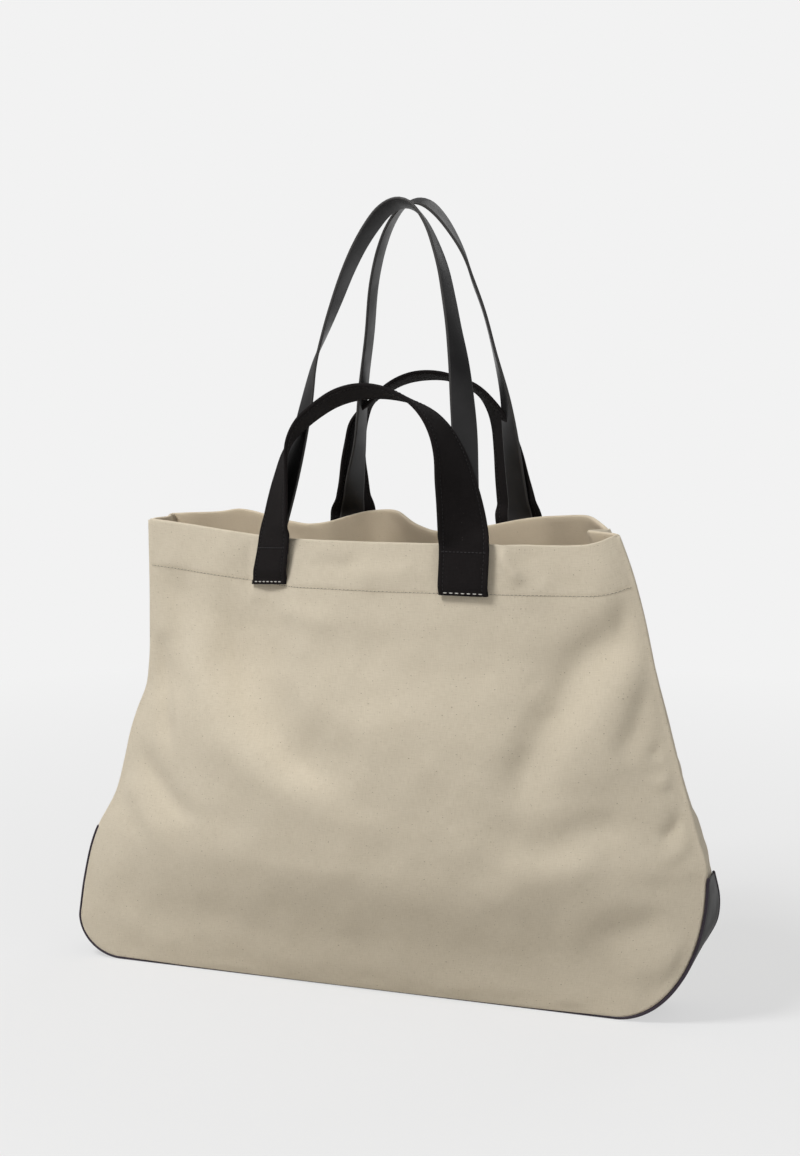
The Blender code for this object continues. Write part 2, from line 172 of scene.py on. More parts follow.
backFolds = (
    (((0.100, 0.335), (0.105, 0.260), (0.075, 0.195), (0.030, 0.165)), (0.028, 0.026), 0.0050),
    (((0.055, 0.325), (0.052, 0.255), (0.020, 0.200)), (0.028, 0.028), -0.0036),
    (((-0.196, 0.325), (-0.172, 0.270), (-0.140, 0.215), (-0.112, 0.168)), (0.016, 0.020), -0.0062),
    (((-0.205, 0.285), (-0.182, 0.232), (-0.150, 0.180)), (0.015, 0.026), 0.0052),
    (((-0.190, 0.150), (-0.140, 0.134), (-0.085, 0.130)), (0.012, 0.012), -0.0042),
    (((0.205, 0.200), (0.178, 0.165), (0.140, 0.140)), (0.011, 0.010), -0.0040),
    (((0.222, 0.175), (0.195, 0.140), (0.165, 0.118)), (0.012, 0.012), 0.0030),
    (((-0.240, 0.185), (-0.226, 0.168), (-0.208, 0.158)), (0.006, 0.005), 0.0024),
    (((-0.252, 0.150), (-0.238, 0.138), (-0.220, 0.130)), (0.006, 0.005), 0.0022),
    (((-0.245, 0.090), (-0.210, 0.080), (-0.175, 0.066)), (0.010, 0.010), -0.0028),
    (((-0.108, 0.372), (-0.112, 0.330), (-0.104, 0.285)), (0.016, 0.018), -0.0030),
    (((0.031, 0.372), (0.030, 0.325), (0.020, 0.280)), (0.016, 0.016), -0.0034),
    (((0.170, 0.300), (0.182, 0.255), (0.200, 0.215)), (0.012, 0.010), -0.0030),
)
sideFolds = {
    "right": (
        (((-0.020, 0.330), (-0.004, 0.285), (0.012, 0.240)), (0.008, 0.008), -0.0026),
        (((0.022, 0.270), (0.004, 0.225), (-0.012, 0.185)), (0.007, 0.008), 0.0026),
        (((-0.024, 0.215), (-0.008, 0.185), (0.014, 0.165)), (0.006, 0.007), -0.0022),
        (((0.024, 0.170), (0.006, 0.150), (-0.020, 0.136)), (0.007, 0.007), 0.0022),
    ),
    "left": (
        (((0.018, 0.335), (0.002, 0.290), (-0.016, 0.245)), (0.008, 0.009), -0.0030),
        (((-0.020, 0.240), (0.000, 0.205), (0.020, 0.175)), (0.008, 0.008), 0.0026),
        (((0.020, 0.180), (0.000, 0.155), (-0.020, 0.140)), (0.006, 0.007), -0.0022),
    ),
}

# How a fold is worked out: the steps along its line, the share of the line over which it fades
# at either end, and how near the line its left width passes into the right one.
foldForm = {"steps": 20, "endShare": 0.3, "turnOver": 0.004}


def smoothStep(value):
    value = np.clip(value, 0, 1)
    return value * value * (3 - 2 * value)


def curveThrough(points, where):
    # A smooth curve through given points, whose first value says where they lie.
    table = np.array(points, float)
    spots, values = table[:, 0], table[:, 1:]
    slopes = np.gradient(values, spots, axis=0)
    where = np.clip(np.asarray(where, float), spots[0], spots[-1])
    low = np.clip(np.searchsorted(spots, where, side="right") - 1, 0, len(spots) - 2)
    step = (spots[low + 1] - spots[low])[..., None]
    t = (where - spots[low])[..., None] / step
    start = (2 * t**3 - 3 * t**2 + 1) * values[low] + (t**3 - 2 * t**2 + t) * step * slopes[low]
    end = (3 * t**2 - 2 * t**3) * values[low + 1] + (t**3 - t**2) * step * slopes[low + 1]
    return start + end


def seamReach(side, height):
    # How far the front seam lies from the middle: a rounded corner, then the line of the side.
    seam = bag[side + "Seam"]
    reach, rise = bag[side + "Corner"]
    drop = np.clip(1 - np.asarray(height, float) / rise, 0, 1)
    corner = seam[0][1] - reach * (1 - np.sqrt(1 - drop**2))
    return np.where(height < rise, corner, curveThrough(seam, height)[..., 0])


def edgeReach(half, side, height, inset=0, rise=0):
    # The same for either half, drawn in at the side and at the bottom, where the corner stays round.
    low = np.clip(1 - np.asarray(height, float) / bag[side + "Corner"][1], 0, 1)
    reach = seamReach(side, np.maximum(height - rise * low, 0)) - inset
    if half == "back":
        reach = reach - curveThrough(bag["backDrawnIn"][side], height)[..., 0]
    return reach


def mouthLine(half):
    # The rim as (share across, depth, height).
    line = np.array(bag[half + "Mouth"], float)
    middle = (line[0, 0] + line[-1, 0]) / 2
    line[:, 0] = (line[:, 0] - middle) / (line[-1, 0] - middle)
    return line


def bulge(height):
    rise = np.sin(math.pi / 2 * np.clip(height / bag["fullest"], 0, 1)) ** bag["fullness"]
    return (bag["bodyDepth"] - bag["seamDepth"]) * rise


def waveShare(height):
    # How far the cloth at a height follows the ups and downs of the rim.
    return smoothStep((height - bag["wavesFrom"]) / (bag["rim"] - bag["wavesFrom"]))


def panelPoints(half, across, height, gaps=(0, 0, 0)):
    # Points of a panel's outer face: across is -1 at the left seam and 1 at the right one.
    # Gaps are how far it stops short at the left, at the right and at the bottom.
    sign = -1 if half == "front" else 1
    left = -edgeReach(half, "left", height, gaps[0], gaps[2])
    right = edgeReach(half, "right", height, gaps[1], gaps[2])
    x = left + (right - left) * (across + 1) / 2
    share = (height - bag["fullest"]) / (bag["rim"] - bag["hem"] - bag["fullest"])
    mouth = curveThrough(mouthLine(half), across)
    body = bag["seamDepth"] + bulge(height) * (1 - across**2)
    calm = 1 - across**4
    rollShare = smoothStep((height - bag["rollFrom"]) / (bag["rollFull"] - bag["rollFrom"]))
    rolls = ("left", "right") if half == "front" else ("right", "left")
    for name, edge in zip(rolls, (left, right)):
        amount, length = bag["roll"][name]
        reached = 1 - np.exp(-np.abs(x - edge) / length)
        body = body + amount * reached * rollShare * calm
    depth = body + (mouth[..., 0] - body) * smoothStep(share)
    sag = bag["sag"]
    depth += bag["hemLean"][half] * smoothStep(share) * np.maximum(bag["rim"] - height, 0) * calm
    depth -= sag["depth"] * np.exp(-(((height - sag["height"]) / sag["reach"]) ** 2)) * calm
    lift = (mouth[..., 1] - bag["rim"]) * waveShare(height)
    return np.stack([x, sign * depth, height + lift], axis=-1)


def panelAt(half, x, height):
    # A panel's outer face at a place of its width in metres.
    left = -edgeReach(half, "left", height)
    right = edgeReach(half, "right", height)
    return panelPoints(half, (2 * x - left - right) / (right - left), height)


def sidePoints(side, along, height, inset=0):
    # Points of a side strip's outer face: along is -1 at the front seam and 1 at the back one.
    sign = -1 if side == "left" else 1
    front = edgeReach("front", side, height, inset, inset)
    back = edgeReach("back", side, height, inset, inset)
    share = (height - bag["pinchFrom"]) / (bag["rim"] - bag["pinchFrom"])
    amount, place, width = bag["pinch"][side]
    pinch = amount * smoothStep(share) * np.exp(-(((along - place) / width) ** 2)) * (1 - along**8)
    tuck = bag["seamTuck"] * (1 - smoothStep((1 - np.abs(along)) / bag["tuckShare"]))
    x = front + (back - front) * (along + 1) / 2 - pinch - tuck
    depth = bag["seamDepth"] - bag["edgeRound"] - touch
    ends = [bag[half + "Mouth"][0 if side == "left" else -1][2] for half in ("front", "back")]
    rise = ends[0] + (ends[1] - ends[0]) * (along + 1) / 2 - bag["rim"]
    lift = rise * waveShare(height)
    return np.stack([sign * x, along * depth, height + lift], axis=-1)


def foldLift(folds, x, height):
    # How far the folds move each place of a sheet out of its face.
    total = np.zeros_like(x)
    for line, widths, lift in folds:
        spots = np.column_stack([np.linspace(0, 1, len(line)), line])
        shares = np.linspace(0, 1, foldForm["steps"])
        path = curveThrough(spots, shares)
        best = np.full(x.shape, 1e9)
        side = np.zeros_like(x)
        along = np.zeros_like(x)
        for start, end, share in zip(path, path[1:], shares):
            way = end - start
            t = ((x - start[0]) * way[0] + (height - start[1]) * way[1]) / (way @ way)
            t = np.clip(t, 0, 1)
            offX = x - start[0] - t * way[0]
            offZ = height - start[1] - t * way[1]
            away = np.hypot(offX, offZ)
            closer = away < best
            best = np.where(closer, away, best)
            side = np.where(closer, way[0] * offZ - way[1] * offX, side)
            along = np.where(closer, share + t * (shares[1] - shares[0]), along)
        left = smoothStep(side / (way @ way) ** 0.5 / foldForm["turnOver"] + 0.5)
        width = widths[1] + (widths[0] - widths[1]) * left
        ends = smoothStep(along / foldForm["endShare"]) * smoothStep((1 - along) / foldForm["endShare"])
        total += lift * np.exp(-((best / width) ** 2)) * ends
    return total


def ripple(seed, x, height, wavelength, amount):
    # Slow unevenness that any hanging cloth has: a few waves laid over each other.
    draws = np.random.default_rng(seed)
    total = np.zeros_like(x)
    count = clothForm["waveCount"]
    for i in range(count):
        angle = draws.uniform(0, math.pi)
        length = wavelength * draws.uniform(0.6, 1.7)
        phase = draws.uniform(0, 2 * math.pi)
        way = x * math.cos(angle) + height * math.sin(angle)
        total += np.sin(2 * math.pi * way / length + phase)
    return total * amount / math.sqrt(count)


def unit(vectors):
    return vectors / np.maximum(np.linalg.norm(vectors, axis=-1, keepdims=True), 1e-12)


def outerNormals(grid, outward):
    # The normals of a sheet's grid, all turned to its outer face.
    normal = unit(np.cross(np.gradient(grid, axis=1), np.gradient(grid, axis=0)))
    return normal * np.sign((normal * np.array(outward)).sum(-1).mean())


def runLengths(line):
    # How far each point of a line lies from its start, along the line.
    steps = np.linalg.norm(np.diff(line, axis=0), axis=1)
    return np.concatenate([[0], np.cumsum(steps)])


def clothMap(grid, rimRow=0):
    # Lengths along the threads, from the middle of the sheet and from its rim, for the weave.
    stepAcross = np.linalg.norm(np.diff(grid, axis=1), axis=-1)
    across = np.concatenate([np.zeros((len(grid), 1)), np.cumsum(stepAcross, axis=1)], axis=1)
    across -= across[:, [grid.shape[1] // 2]]
    up = runLengths(grid[:, grid.shape[1] // 2])
    up -= up[rimRow]
    return np.stack([across, np.repeat(up[:, None], grid.shape[1], axis=1)], axis=-1)


def newObject(name, data):
    made = bpy.data.objects.new(name, data)
    bpy.context.scene.collection.objects.link(made)
    return made


def facedOutward(mesh):
    build = bmesh.new()
    build.from_mesh(mesh)
    bmesh.ops.recalc_face_normals(build, faces=build.faces)
    build.to_mesh(mesh)
    build.free()


def meshFromGrids(name, patches):
    # One mesh from several grids of points, welded where they meet. Each has its own map.
    mesh = bpy.data.meshes.new(name)
    build = bmesh.new()
    layer = build.loops.layers.uv.new("cloth")
    for grid, chart in patches:
        rows = [[build.verts.new(point) for point in row] for row in grid]
        for i in range(len(rows) - 1):
            for j in range(len(rows[0]) - 1):
                corners = ((i, j), (i, j + 1), (i + 1, j + 1), (i + 1, j))
                face = build.faces.new([rows[a][b] for a, b in corners])
                face.smooth = True
                for loop, (a, b) in zip(face.loops, corners):
                    loop[layer].uv = chart[a][b]
    bmesh.ops.remove_doubles(build, verts=build.verts, dist=2e-5)
    build.to_mesh(mesh)
    build.free()
    return newObject(name, mesh)


def meshWithMap(name, points, faces, chart):
    # A smooth mesh from its points and faces, with the map given for each corner of the faces.
    mesh = bpy.data.meshes.new(name)
    mesh.from_pydata(points.reshape(-1, 3).tolist(), [], faces)
    layer = mesh.uv_layers.new(name="cloth")
    layer.data.foreach_set("uv", np.array(chart, float).ravel())
    mesh.shade_smooth()
    return mesh


def applied(piece):
    # Puts the result of a piece's modifiers into its mesh.
    graph = bpy.context.evaluated_depsgraph_get()
    mesh = bpy.data.meshes.new_from_object(piece.evaluated_get(graph))
    piece.modifiers.clear()
    old = piece.data
    piece.data = mesh
    bpy.data.meshes.remove(old)
    return piece


def thickened(piece, thickness, outward):
    # Gives an open sheet its thickness on the side away from its outer face.
    build = bmesh.new()
    build.from_mesh(piece.data)
    bmesh.ops.recalc_face_normals(build, faces=build.faces)
    facing = sum((f.normal * f.calc_area() for f in build.faces), Vector()).dot(Vector(outward))
    if facing < 0:
        bmesh.ops.reverse_faces(build, faces=build.faces)
    build.to_mesh(piece.data)
    build.free()
    solid = piece.modifiers.new("thickness", "SOLIDIFY")
    solid.thickness = thickness
    solid.offset = -1
    solid.use_even_offset = False
    return applied(piece)


def finishPiece(piece, body, nodes, material):
    piece.data.materials.clear()
    piece.data.materials.append(material)
    if body:
        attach(piece, body)
    if nodes:
        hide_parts(*nodes)
    return piece


# Materials

def addNode(tree, kind, inputs=(), **settings):
    # A node with its settings, and its inputs linked or set to values.
    made = tree.nodes.new(kind)
    for key, value in settings.items():
        setattr(made, key, value)
    for key, value in dict(inputs).items():
        if isinstance(value, bpy.types.NodeSocket):
            tree.links.new(value, made.inputs[key])
        else:
            made.inputs[key].default_value = value
    return made


def newGroup(name, inputs, outputs):
    group = bpy.data.node_groups.new(name, "ShaderNodeTree")
    for label, kind, value in inputs:
        socket = group.interface.new_socket(label, in_out="INPUT", socket_type=kind)
        if value is not None:
            socket.default_value = value
    for label, kind in outputs:
        group.interface.new_socket(label, in_out="OUTPUT", socket_type=kind)
    return group, group.nodes.new("NodeGroupInput"), group.nodes.new("NodeGroupOutput")


def useGroup(tree, group, inputs):
    return addNode(tree, "ShaderNodeGroup", inputs, node_tree=group)


def mathOf(tree, operation, *values, **settings):
    return addNode(tree, "ShaderNodeMath", enumerate(values), operation=operation, **settings).outputs[0]


def scaled(tree, vector, scale):
    # A vector times three fixed numbers.
    return addNode(tree, "ShaderNodeVectorMath", {0: vector, 1: scale}, operation="MULTIPLY").outputs[0]


def noiseOf(tree, vector, scale, detail):
    made = addNode(tree, "ShaderNodeTexNoise", {"Vector": vector, "Scale": scale, "Detail": detail})
    return made.outputs[0]


def mixColors(tree, share, first, second):
    mixed = addNode(tree, "ShaderNodeMix", {0: share, 6: first, 7: second}, data_type="RGBA")
    return mixed.outputs[2]


def ranged(tree, value, low, high, bottom=0.0, top=1.0):
    # From bottom to top while the value goes from low to high, and no further.
    return addNode(tree, "ShaderNodeMapRange", {"Value": value, "From Min": low, "From Max": high,
                                                "To Min": bottom, "To Max": top}).outputs[0]


def addBump(tree, shader, height, strength, distance):
    bump = addNode(tree, "ShaderNodeBump", {"Height": height, "Strength": strength, "Distance": distance})
    tree.links.new(bump.outputs[0], shader.inputs["Normal"])


def mixShaders(tree, share, first, second):
    return addNode(tree, "ShaderNodeMixShader", {0: share, 1: first.outputs[0], 2: second.outputs[0]})


# How often the parts of each pattern come in a metre of the cloth's map or of the leather.
weaveScales = {"streaks": ((130, 1500, 1), (1500, 130, 1)), "flecks": (520, 780, 1), "clouds": 26}
grainScales = {"pores": 3200, "patches": 38}


def makeWeave():
    # Plain weave on the cloth's own map: thread height, uneven threads and small dark flecks.
    group, start, end = newGroup(
        "plainWeave",
        (
            ("Map", "NodeSocketVector", None),
            ("Thread width", "NodeSocketFloat", 0.0006),
            ("Fleck share", "NodeSocketFloat", 0.1),
        ),
        (("Height", "NodeSocketFloat"), ("Uneven", "NodeSocketFloat"), ("Fleck", "NodeSocketFloat"),
         ("Cloud", "NodeSocketFloat")),
    )
    apart = addNode(group, "ShaderNodeSeparateXYZ", {"Vector": start.outputs["Map"]})
    waves = []
    for axis in "XY":
        turned = mathOf(group, "DIVIDE", apart.outputs[axis], start.outputs["Thread width"])
        waves.append(mathOf(group, "SINE", mathOf(group, "MULTIPLY", turned, math.pi)))
    over = mathOf(group, "GREATER_THAN", mathOf(group, "MULTIPLY", waves[0], waves[1]), 0)
    warp = mathOf(group, "ABSOLUTE", waves[0])
    weft = mathOf(group, "ABSOLUTE", waves[1])
    warpTop = mathOf(group, "MULTIPLY", warp, mathOf(group, "SQRT", weft))
    weftTop = mathOf(group, "MULTIPLY", weft, mathOf(group, "SQRT", warp))
    mixed = addNode(group, "ShaderNodeMix", {0: over, 2: weftTop, 3: warpTop})
    streaks = []
    for scale in weaveScales["streaks"]:
        streaks.append(noiseOf(group, scaled(group, start.outputs["Map"], scale), 1, 2))
    uneven = mathOf(group, "ADD", mathOf(group, "MULTIPLY", streaks[0], 0.52),
                    mathOf(group, "MULTIPLY", streaks[1], 0.48))
    specks = noiseOf(group, scaled(group, start.outputs["Map"], weaveScales["flecks"]), 1, 1)
    level = mathOf(group, "SUBTRACT", 0.79, start.outputs["Fleck share"])
    fleck = ranged(group, specks, level, 0.80)
    cloud = noiseOf(group, start.outputs["Map"], weaveScales["clouds"], 3)
    results = {"Height": mixed.outputs[0], "Uneven": uneven, "Fleck": fleck, "Cloud": cloud}
    for name, result in results.items():
        group.links.new(result, end.inputs[name])
    return group


def makeGrain():
    # Fine leather grain: small pebbles with pores, and slow patches of handling.
    group, start, end = newGroup(
        "leatherGrain",
        (("Place", "NodeSocketVector", None), ("Pebbles", "NodeSocketFloat", 1300.0)),
        (("Height", "NodeSocketFloat"), ("Patch", "NodeSocketFloat")),
    )
    place = start.outputs["Place"]
    cells = addNode(group, "ShaderNodeTexVoronoi", {"Vector": place, "Scale": start.outputs["Pebbles"]},
                    feature="SMOOTH_F1")
    height = mathOf(group, "ADD", mathOf(group, "MULTIPLY", cells.outputs["Distance"], 0.7),
                    mathOf(group, "MULTIPLY", noiseOf(group, place, grainScales["pores"], 3), 0.3))
    group.links.new(height, end.inputs["Height"])
    group.links.new(noiseOf(group, place, grainScales["patches"], 4), end.inputs["Patch"])
    return group


def newMaterial(name, roughness):
    material = bpy.data.materials.new(name)
    material.use_nodes = True
    shader = material.node_tree.nodes["Principled BSDF"]
    shader.inputs["Roughness"].default_value = roughness
    return material, material.node_tree, shader


def rgb(color):
    return (*color, 1)


# For both cloths: how much slow clouds darken them at random, how much painted shade darkens the gaps
# between threads, how far uneven threads stand out, and their faint gloss.
clothShade = {"clouds": 0.30, "gaps": 0.25, "uneven": 0.8, "gloss": 0.16, "sheenRoughness": 0.6}
canvasLook = {
    "color": (0.735, 0.655, 0.520),
    # the cloth's own darker threads, and painted shade in the gaps between threads
    "darkThreadAndGapShade": (0.600, 0.520, 0.390),
    "fleck": (0.300, 0.235, 0.150),
    # painted shade and warm bounce light on the turned-in hem
    "inside": (0.735, 0.600, 0.425),
    "threadWidth": 0.00062,
    "fleckShare": 0.09,
    "weaveDepth": 0.00022,
    "roughness": 0.93,
    "sheen": 0.12,
}


def clothMaterial(name, look):
    material, tree, shader = newMaterial(name, look["roughness"])
    place = addNode(tree, "ShaderNodeUVMap", uv_map="cloth")
    weave = useGroup(tree, weaveGroup, {"Map": place.outputs[0], "Thread width": look["threadWidth"],
                                        "Fleck share": look["fleckShare"]})
    # The dark colour serves the cloth's own darker threads and clouds, and the painted shade in its gaps.
    streaks = ranged(tree, weave.outputs["Uneven"], 0.10, 0.60)
    cloud = mathOf(tree, "MULTIPLY", mathOf(tree, "SUBTRACT", weave.outputs["Cloud"], 0.5),
                   clothShade["clouds"])
    shade = mathOf(tree, "SUBTRACT", streaks, cloud)
    # Painted shade: the low places between threads are darkened.
    paintedGapShade = mathOf(tree, "MULTIPLY", mathOf(tree, "SUBTRACT", 1, weave.outputs["Height"]), clothShade["gaps"])
    share = mathOf(tree, "SUBTRACT", shade, paintedGapShade, use_clamp=True)
    color = mixColors(tree, share, rgb(look["darkThreadAndGapShade"]), rgb(look["color"]))
    result = mixColors(tree, weave.outputs["Fleck"], color, rgb(look["fleck"]))
    if "inside" in look:
        # Painted shade and painted warm bounce light: the turned-in hem, which sees little but warm cloth,
        # is coloured warmer and a little darker.
        apart = addNode(tree, "ShaderNodeSeparateXYZ", {"Vector": place.outputs[0]})
        turned = ranged(tree, apart.outputs[1], 0.0, 0.004, top=0.6)
        result = mixColors(tree, turned, result, rgb(look["inside"]))
    tree.links.new(result, shader.inputs["Base Color"])
    height = mathOf(tree, "ADD", weave.outputs["Height"],
                    mathOf(tree, "MULTIPLY", weave.outputs["Uneven"], clothShade["uneven"]))
    addBump(tree, shader, height, 0.8, look["weaveDepth"])
    shader.inputs["Sheen Weight"].default_value = look["sheen"]
    shader.inputs["Sheen Roughness"].default_value = clothShade["sheenRoughness"]
    shader.inputs["Specular IOR Level"].default_value = clothShade["gloss"]
    return material


webbingLook = {
    "color": (0.0135, 0.0110, 0.0112),
    # as for the canvas: darker threads, and painted shade in the gaps between threads
    "darkThreadAndGapShade": (0.0055, 0.0045, 0.0045),
    "fleck": (0.075, 0.065, 0.060),
    "threadWidth": 0.00055,
    "fleckShare": 0.05,
    "weaveDepth": 0.00020,
    "roughness": 0.92,
    "sheen": 0.0,
}

baseLeatherLook = {
    "color": (0.0085, 0.0080, 0.0076),
    "worn": (0.0165, 0.0156, 0.0148),
    "roughness": (0.46, 0.62),
    "pebbles": 1150.0,
    "grainDepth": 0.00006,
    "gloss": 0.12,
}
strapLeatherLook = {
    "color": (0.0112, 0.0107, 0.0112),
    "worn": (0.0215, 0.0208, 0.0215),
    # painted highlight: the lighter colour of the cut edges
    "edge": (0.046, 0.044, 0.043),
    "gloss": 0.27,
    "roughness": (0.36, 0.52),
    "pebbles": 1500.0,
    "grainDepth": 0.00004,
}
pipingLook = {
    "color": (0.0180, 0.0110, 0.0190),
    "gloss": 0.32,
    "worn": (0.040, 0.028, 0.042),
    "roughness": (0.42, 0.56),
    "pebbles": 1600.0,
    "grainDepth": 0.00004,
}


def leatherMaterial(name, look):
    material, tree, shader = newMaterial(name, look["roughness"][0])
    place = addNode(tree, "ShaderNodeTexCoord")
    grain = useGroup(tree, grainGroup, {"Place": place.outputs["Object"], "Pebbles": look["pebbles"]})
    worn = ranged(tree, grain.outputs["Patch"], 0.38, 0.72)
    result = mixColors(tree, worn, rgb(look["color"]), rgb(look["worn"]))
    # Painted highlight: the cut edges are made lighter, standing in for the light that they catch.
    if "edge" in look:
        edge = addNode(tree, "ShaderNodeAttribute", attribute_name="cutEdge")
        result = mixColors(tree, edge.outputs["Fac"], result, rgb(look["edge"]))
    tree.links.new(result, shader.inputs["Base Color"])
    rough = ranged(tree, grain.outputs["Patch"], 0.35, 0.7, *look["roughness"])
    tree.links.new(rough, shader.inputs["Roughness"])
    shader.inputs["Specular IOR Level"].default_value = look["gloss"]
    addBump(tree, shader, grain.outputs["Height"], 0.4, look["grainDepth"])
    return material


stitchShape = {"rings": 5, "sides": 6}
# Each thread's second colour is painted shade where it sinks into its needle hole.
threadLook = {  # the thread's colour and the needle hole's
    "hemThread": ((0.72, 0.64, 0.51), (0.022, 0.015, 0.009)),
    "blackThread": ((0.020, 0.018, 0.019), (0.004, 0.004, 0.004)),
    "tackThread": ((0.032, 0.029, 0.031), (0.003, 0.003, 0.003)),
    "whiteThread": ((0.80, 0.78, 0.73), (0.10, 0.09, 0.085)),
    "roughness": 0.75,
}


def threadMaterial(name):
    # Twisted thread: slanting plies with painted shade in the grooves between them, and painted shade in
    # the needle hole at either end.
    color, holeShade = threadLook[name]
    material, tree, shader = newMaterial(name, threadLook["roughness"])
    place = addNode(tree, "ShaderNodeUVMap", uv_map="cloth")
    plies = addNode(tree, "ShaderNodeTexWave",
                    {"Vector": place.outputs[0], "Scale": 1.6, "Distortion": 0.6},
                    bands_direction="DIAGONAL")
    plyGrooveShade = tuple(0.62 * c for c in color)
    mixed = mixColors(tree, plies.outputs["Fac"], rgb(plyGrooveShade), rgb(color))
    along = addNode(tree, "ShaderNodeSeparateXYZ", {"Vector": place.outputs[0]})
    middle = (stitchShape["rings"] - 1) / 2
    off = mathOf(tree, "ABSOLUTE", mathOf(tree, "SUBTRACT", along.outputs[0], middle))
    ends = ranged(tree, off, middle - 1.05, middle - 0.6)
    sunk = mixColors(tree, ends, mixed, rgb(holeShade))
    tree.links.new(sunk, shader.inputs["Base Color"])
    addBump(tree, shader, plies.outputs["Fac"], 0.5, 0.0001)
    return material


weaveGroup = makeWeave()
grainGroup = makeGrain()
canvas = clothMaterial("canvas", canvasLook)
webbing = clothMaterial("webbing", webbingLook)
baseLeather = leatherMaterial("baseLeather", baseLeatherLook)
strapLeather = leatherMaterial("strapLeather", strapLeatherLook)
pipingLeather = leatherMaterial("pipingLeather", pipingLook)
hemThread = threadMaterial("hemThread")
blackThread = threadMaterial("blackThread")
tackThread = threadMaterial("tackThread")
whiteThread = threadMaterial("whiteThread")
print("Materials made")


# Canvas body

bodyMesh = {
    "panelColumns": 171,
    "sideColumns": 41,
    "cornerRows": 26,
    "cornerTop": 0.110,
    "bodyRows": 62,
    "hemRows": 12,
    "foldRows": 6,
    "hemInsideRows": 10,
}

# Small forms of the cloth: waves are (length, height). Folds fade towards the seams and the lower
# edge, and under the sewn ends of the bands, from legFrom up.
clothForm = {
    "waveCount": 14,
    "waves": (0.055, 0.00045),
    "fineWaves": (0.020, 0.00013),
    "foldFade": 0.012,
    "lowFade": 0.010,
    "legs": {"front": (-0.0805, 0.0858), "back": (-0.0635, 0.0865)},
    "legHalf": 0.021,
    "legFade": 0.009,
    "legFrom": 0.318,
    "legRise": 0.018,
    "groove": 0.0001,
    "grooveWidth": 0.0012,
    "puffed": 0.0003,
    "sewnFade": 0.003,
}


def clothHeights(low):
    # Row heights up to the rim's fold: close at the corner, and round the row of stitches.
    rimLine = bag["rim"] - bag["foldRadius"]
    stitch = bag["rim"] - bag["stitchDrop"]
    angles = np.linspace(0, math.pi / 2, bodyMesh["cornerRows"])
    corner = low + (bodyMesh["cornerTop"] - low) * (1 - np.cos(angles))
    body = np.linspace(bodyMesh["cornerTop"], stitch - 0.004, bodyMesh["bodyRows"])
    seam = stitch + np.array([-0.0025, -0.0014, -0.0007, 0, 0.0007, 0.0014, 0.0025])
    hem = np.linspace(stitch + 0.004, rimLine, bodyMesh["hemRows"])
    return np.concatenate([corner[:-1], body, seam, hem])


def clothSurface(pointsAt, across, low, folds, seed, legs, outward):
    # A sheet from its lower edge up to the rim, over the fold and down the inside of the hem.
    heights = clothHeights(low)
    heights = heights[heights >= low]
    acrossGrid, heightGrid = np.meshgrid(across, heights)
    grid = pointsAt(acrossGrid, heightGrid)
    normal = outerNormals(grid, outward)
    spot = grid[..., 0] if abs(outward[1]) > 0.5 else grid[..., 1]
    span = np.abs(spot - spot[:, [0]])
    other = np.abs(spot - spot[:, [-1]])
    form = clothForm
    fade = smoothStep(np.minimum(span, other) / form["foldFade"])
    fade = fade * smoothStep((heightGrid - low) / form["lowFade"])
    for leg in legs:
        flat = smoothStep((np.abs(spot - leg) - form["legHalf"]) / form["legFade"])
        flat = 1 - (1 - flat) * smoothStep((heightGrid - form["legFrom"]) / form["legRise"])
        fade = fade * flat
    lift = foldLift(folds, spot, heightGrid) + ripple(seed, spot, heightGrid, *form["waves"])
    lift += ripple(seed + 1, spot, heightGrid, *form["fineWaves"])
    aboveStitch = heightGrid - (bag["rim"] - bag["stitchDrop"])
    groove = form["groove"] * np.exp(-((aboveStitch / form["grooveWidth"]) ** 2))
    puffed = form["puffed"] * smoothStep(aboveStitch / form["sewnFade"])
    sewn = (puffed - groove) * smoothStep(np.minimum(span, other) / form["sewnFade"])
    grid = grid + normal * (lift * fade + sewn)[..., None]
    normal = outerNormals(grid, outward)
    radius = bag["foldRadius"]
    rows = [grid]
    for i in range(1, bodyMesh["foldRows"] + 1):
        angle = math.pi * i / bodyMesh["foldRows"]
        over = grid[-1] - normal[-1] * radius * (1 - math.cos(angle))
        rows.append((over + np.array([0, 0, radius * math.sin(angle)]))[None])
    inner = np.linspace(0, bag["hem"], bodyMesh["hemInsideRows"] + 1)[1:]
    reached = heights[-1] - heights
    for drop in inner:
        place = np.interp(drop, reached[::-1], np.arange(len(heights))[::-1])
        under = int(place)
        share = place - under
        over = min(under + 1, len(heights) - 1)
        point = grid[under] * (1 - share) + grid[over] * share
        rows.append((point - normal[under] * 2 * radius)[None])
    return np.concatenate(rows), heights


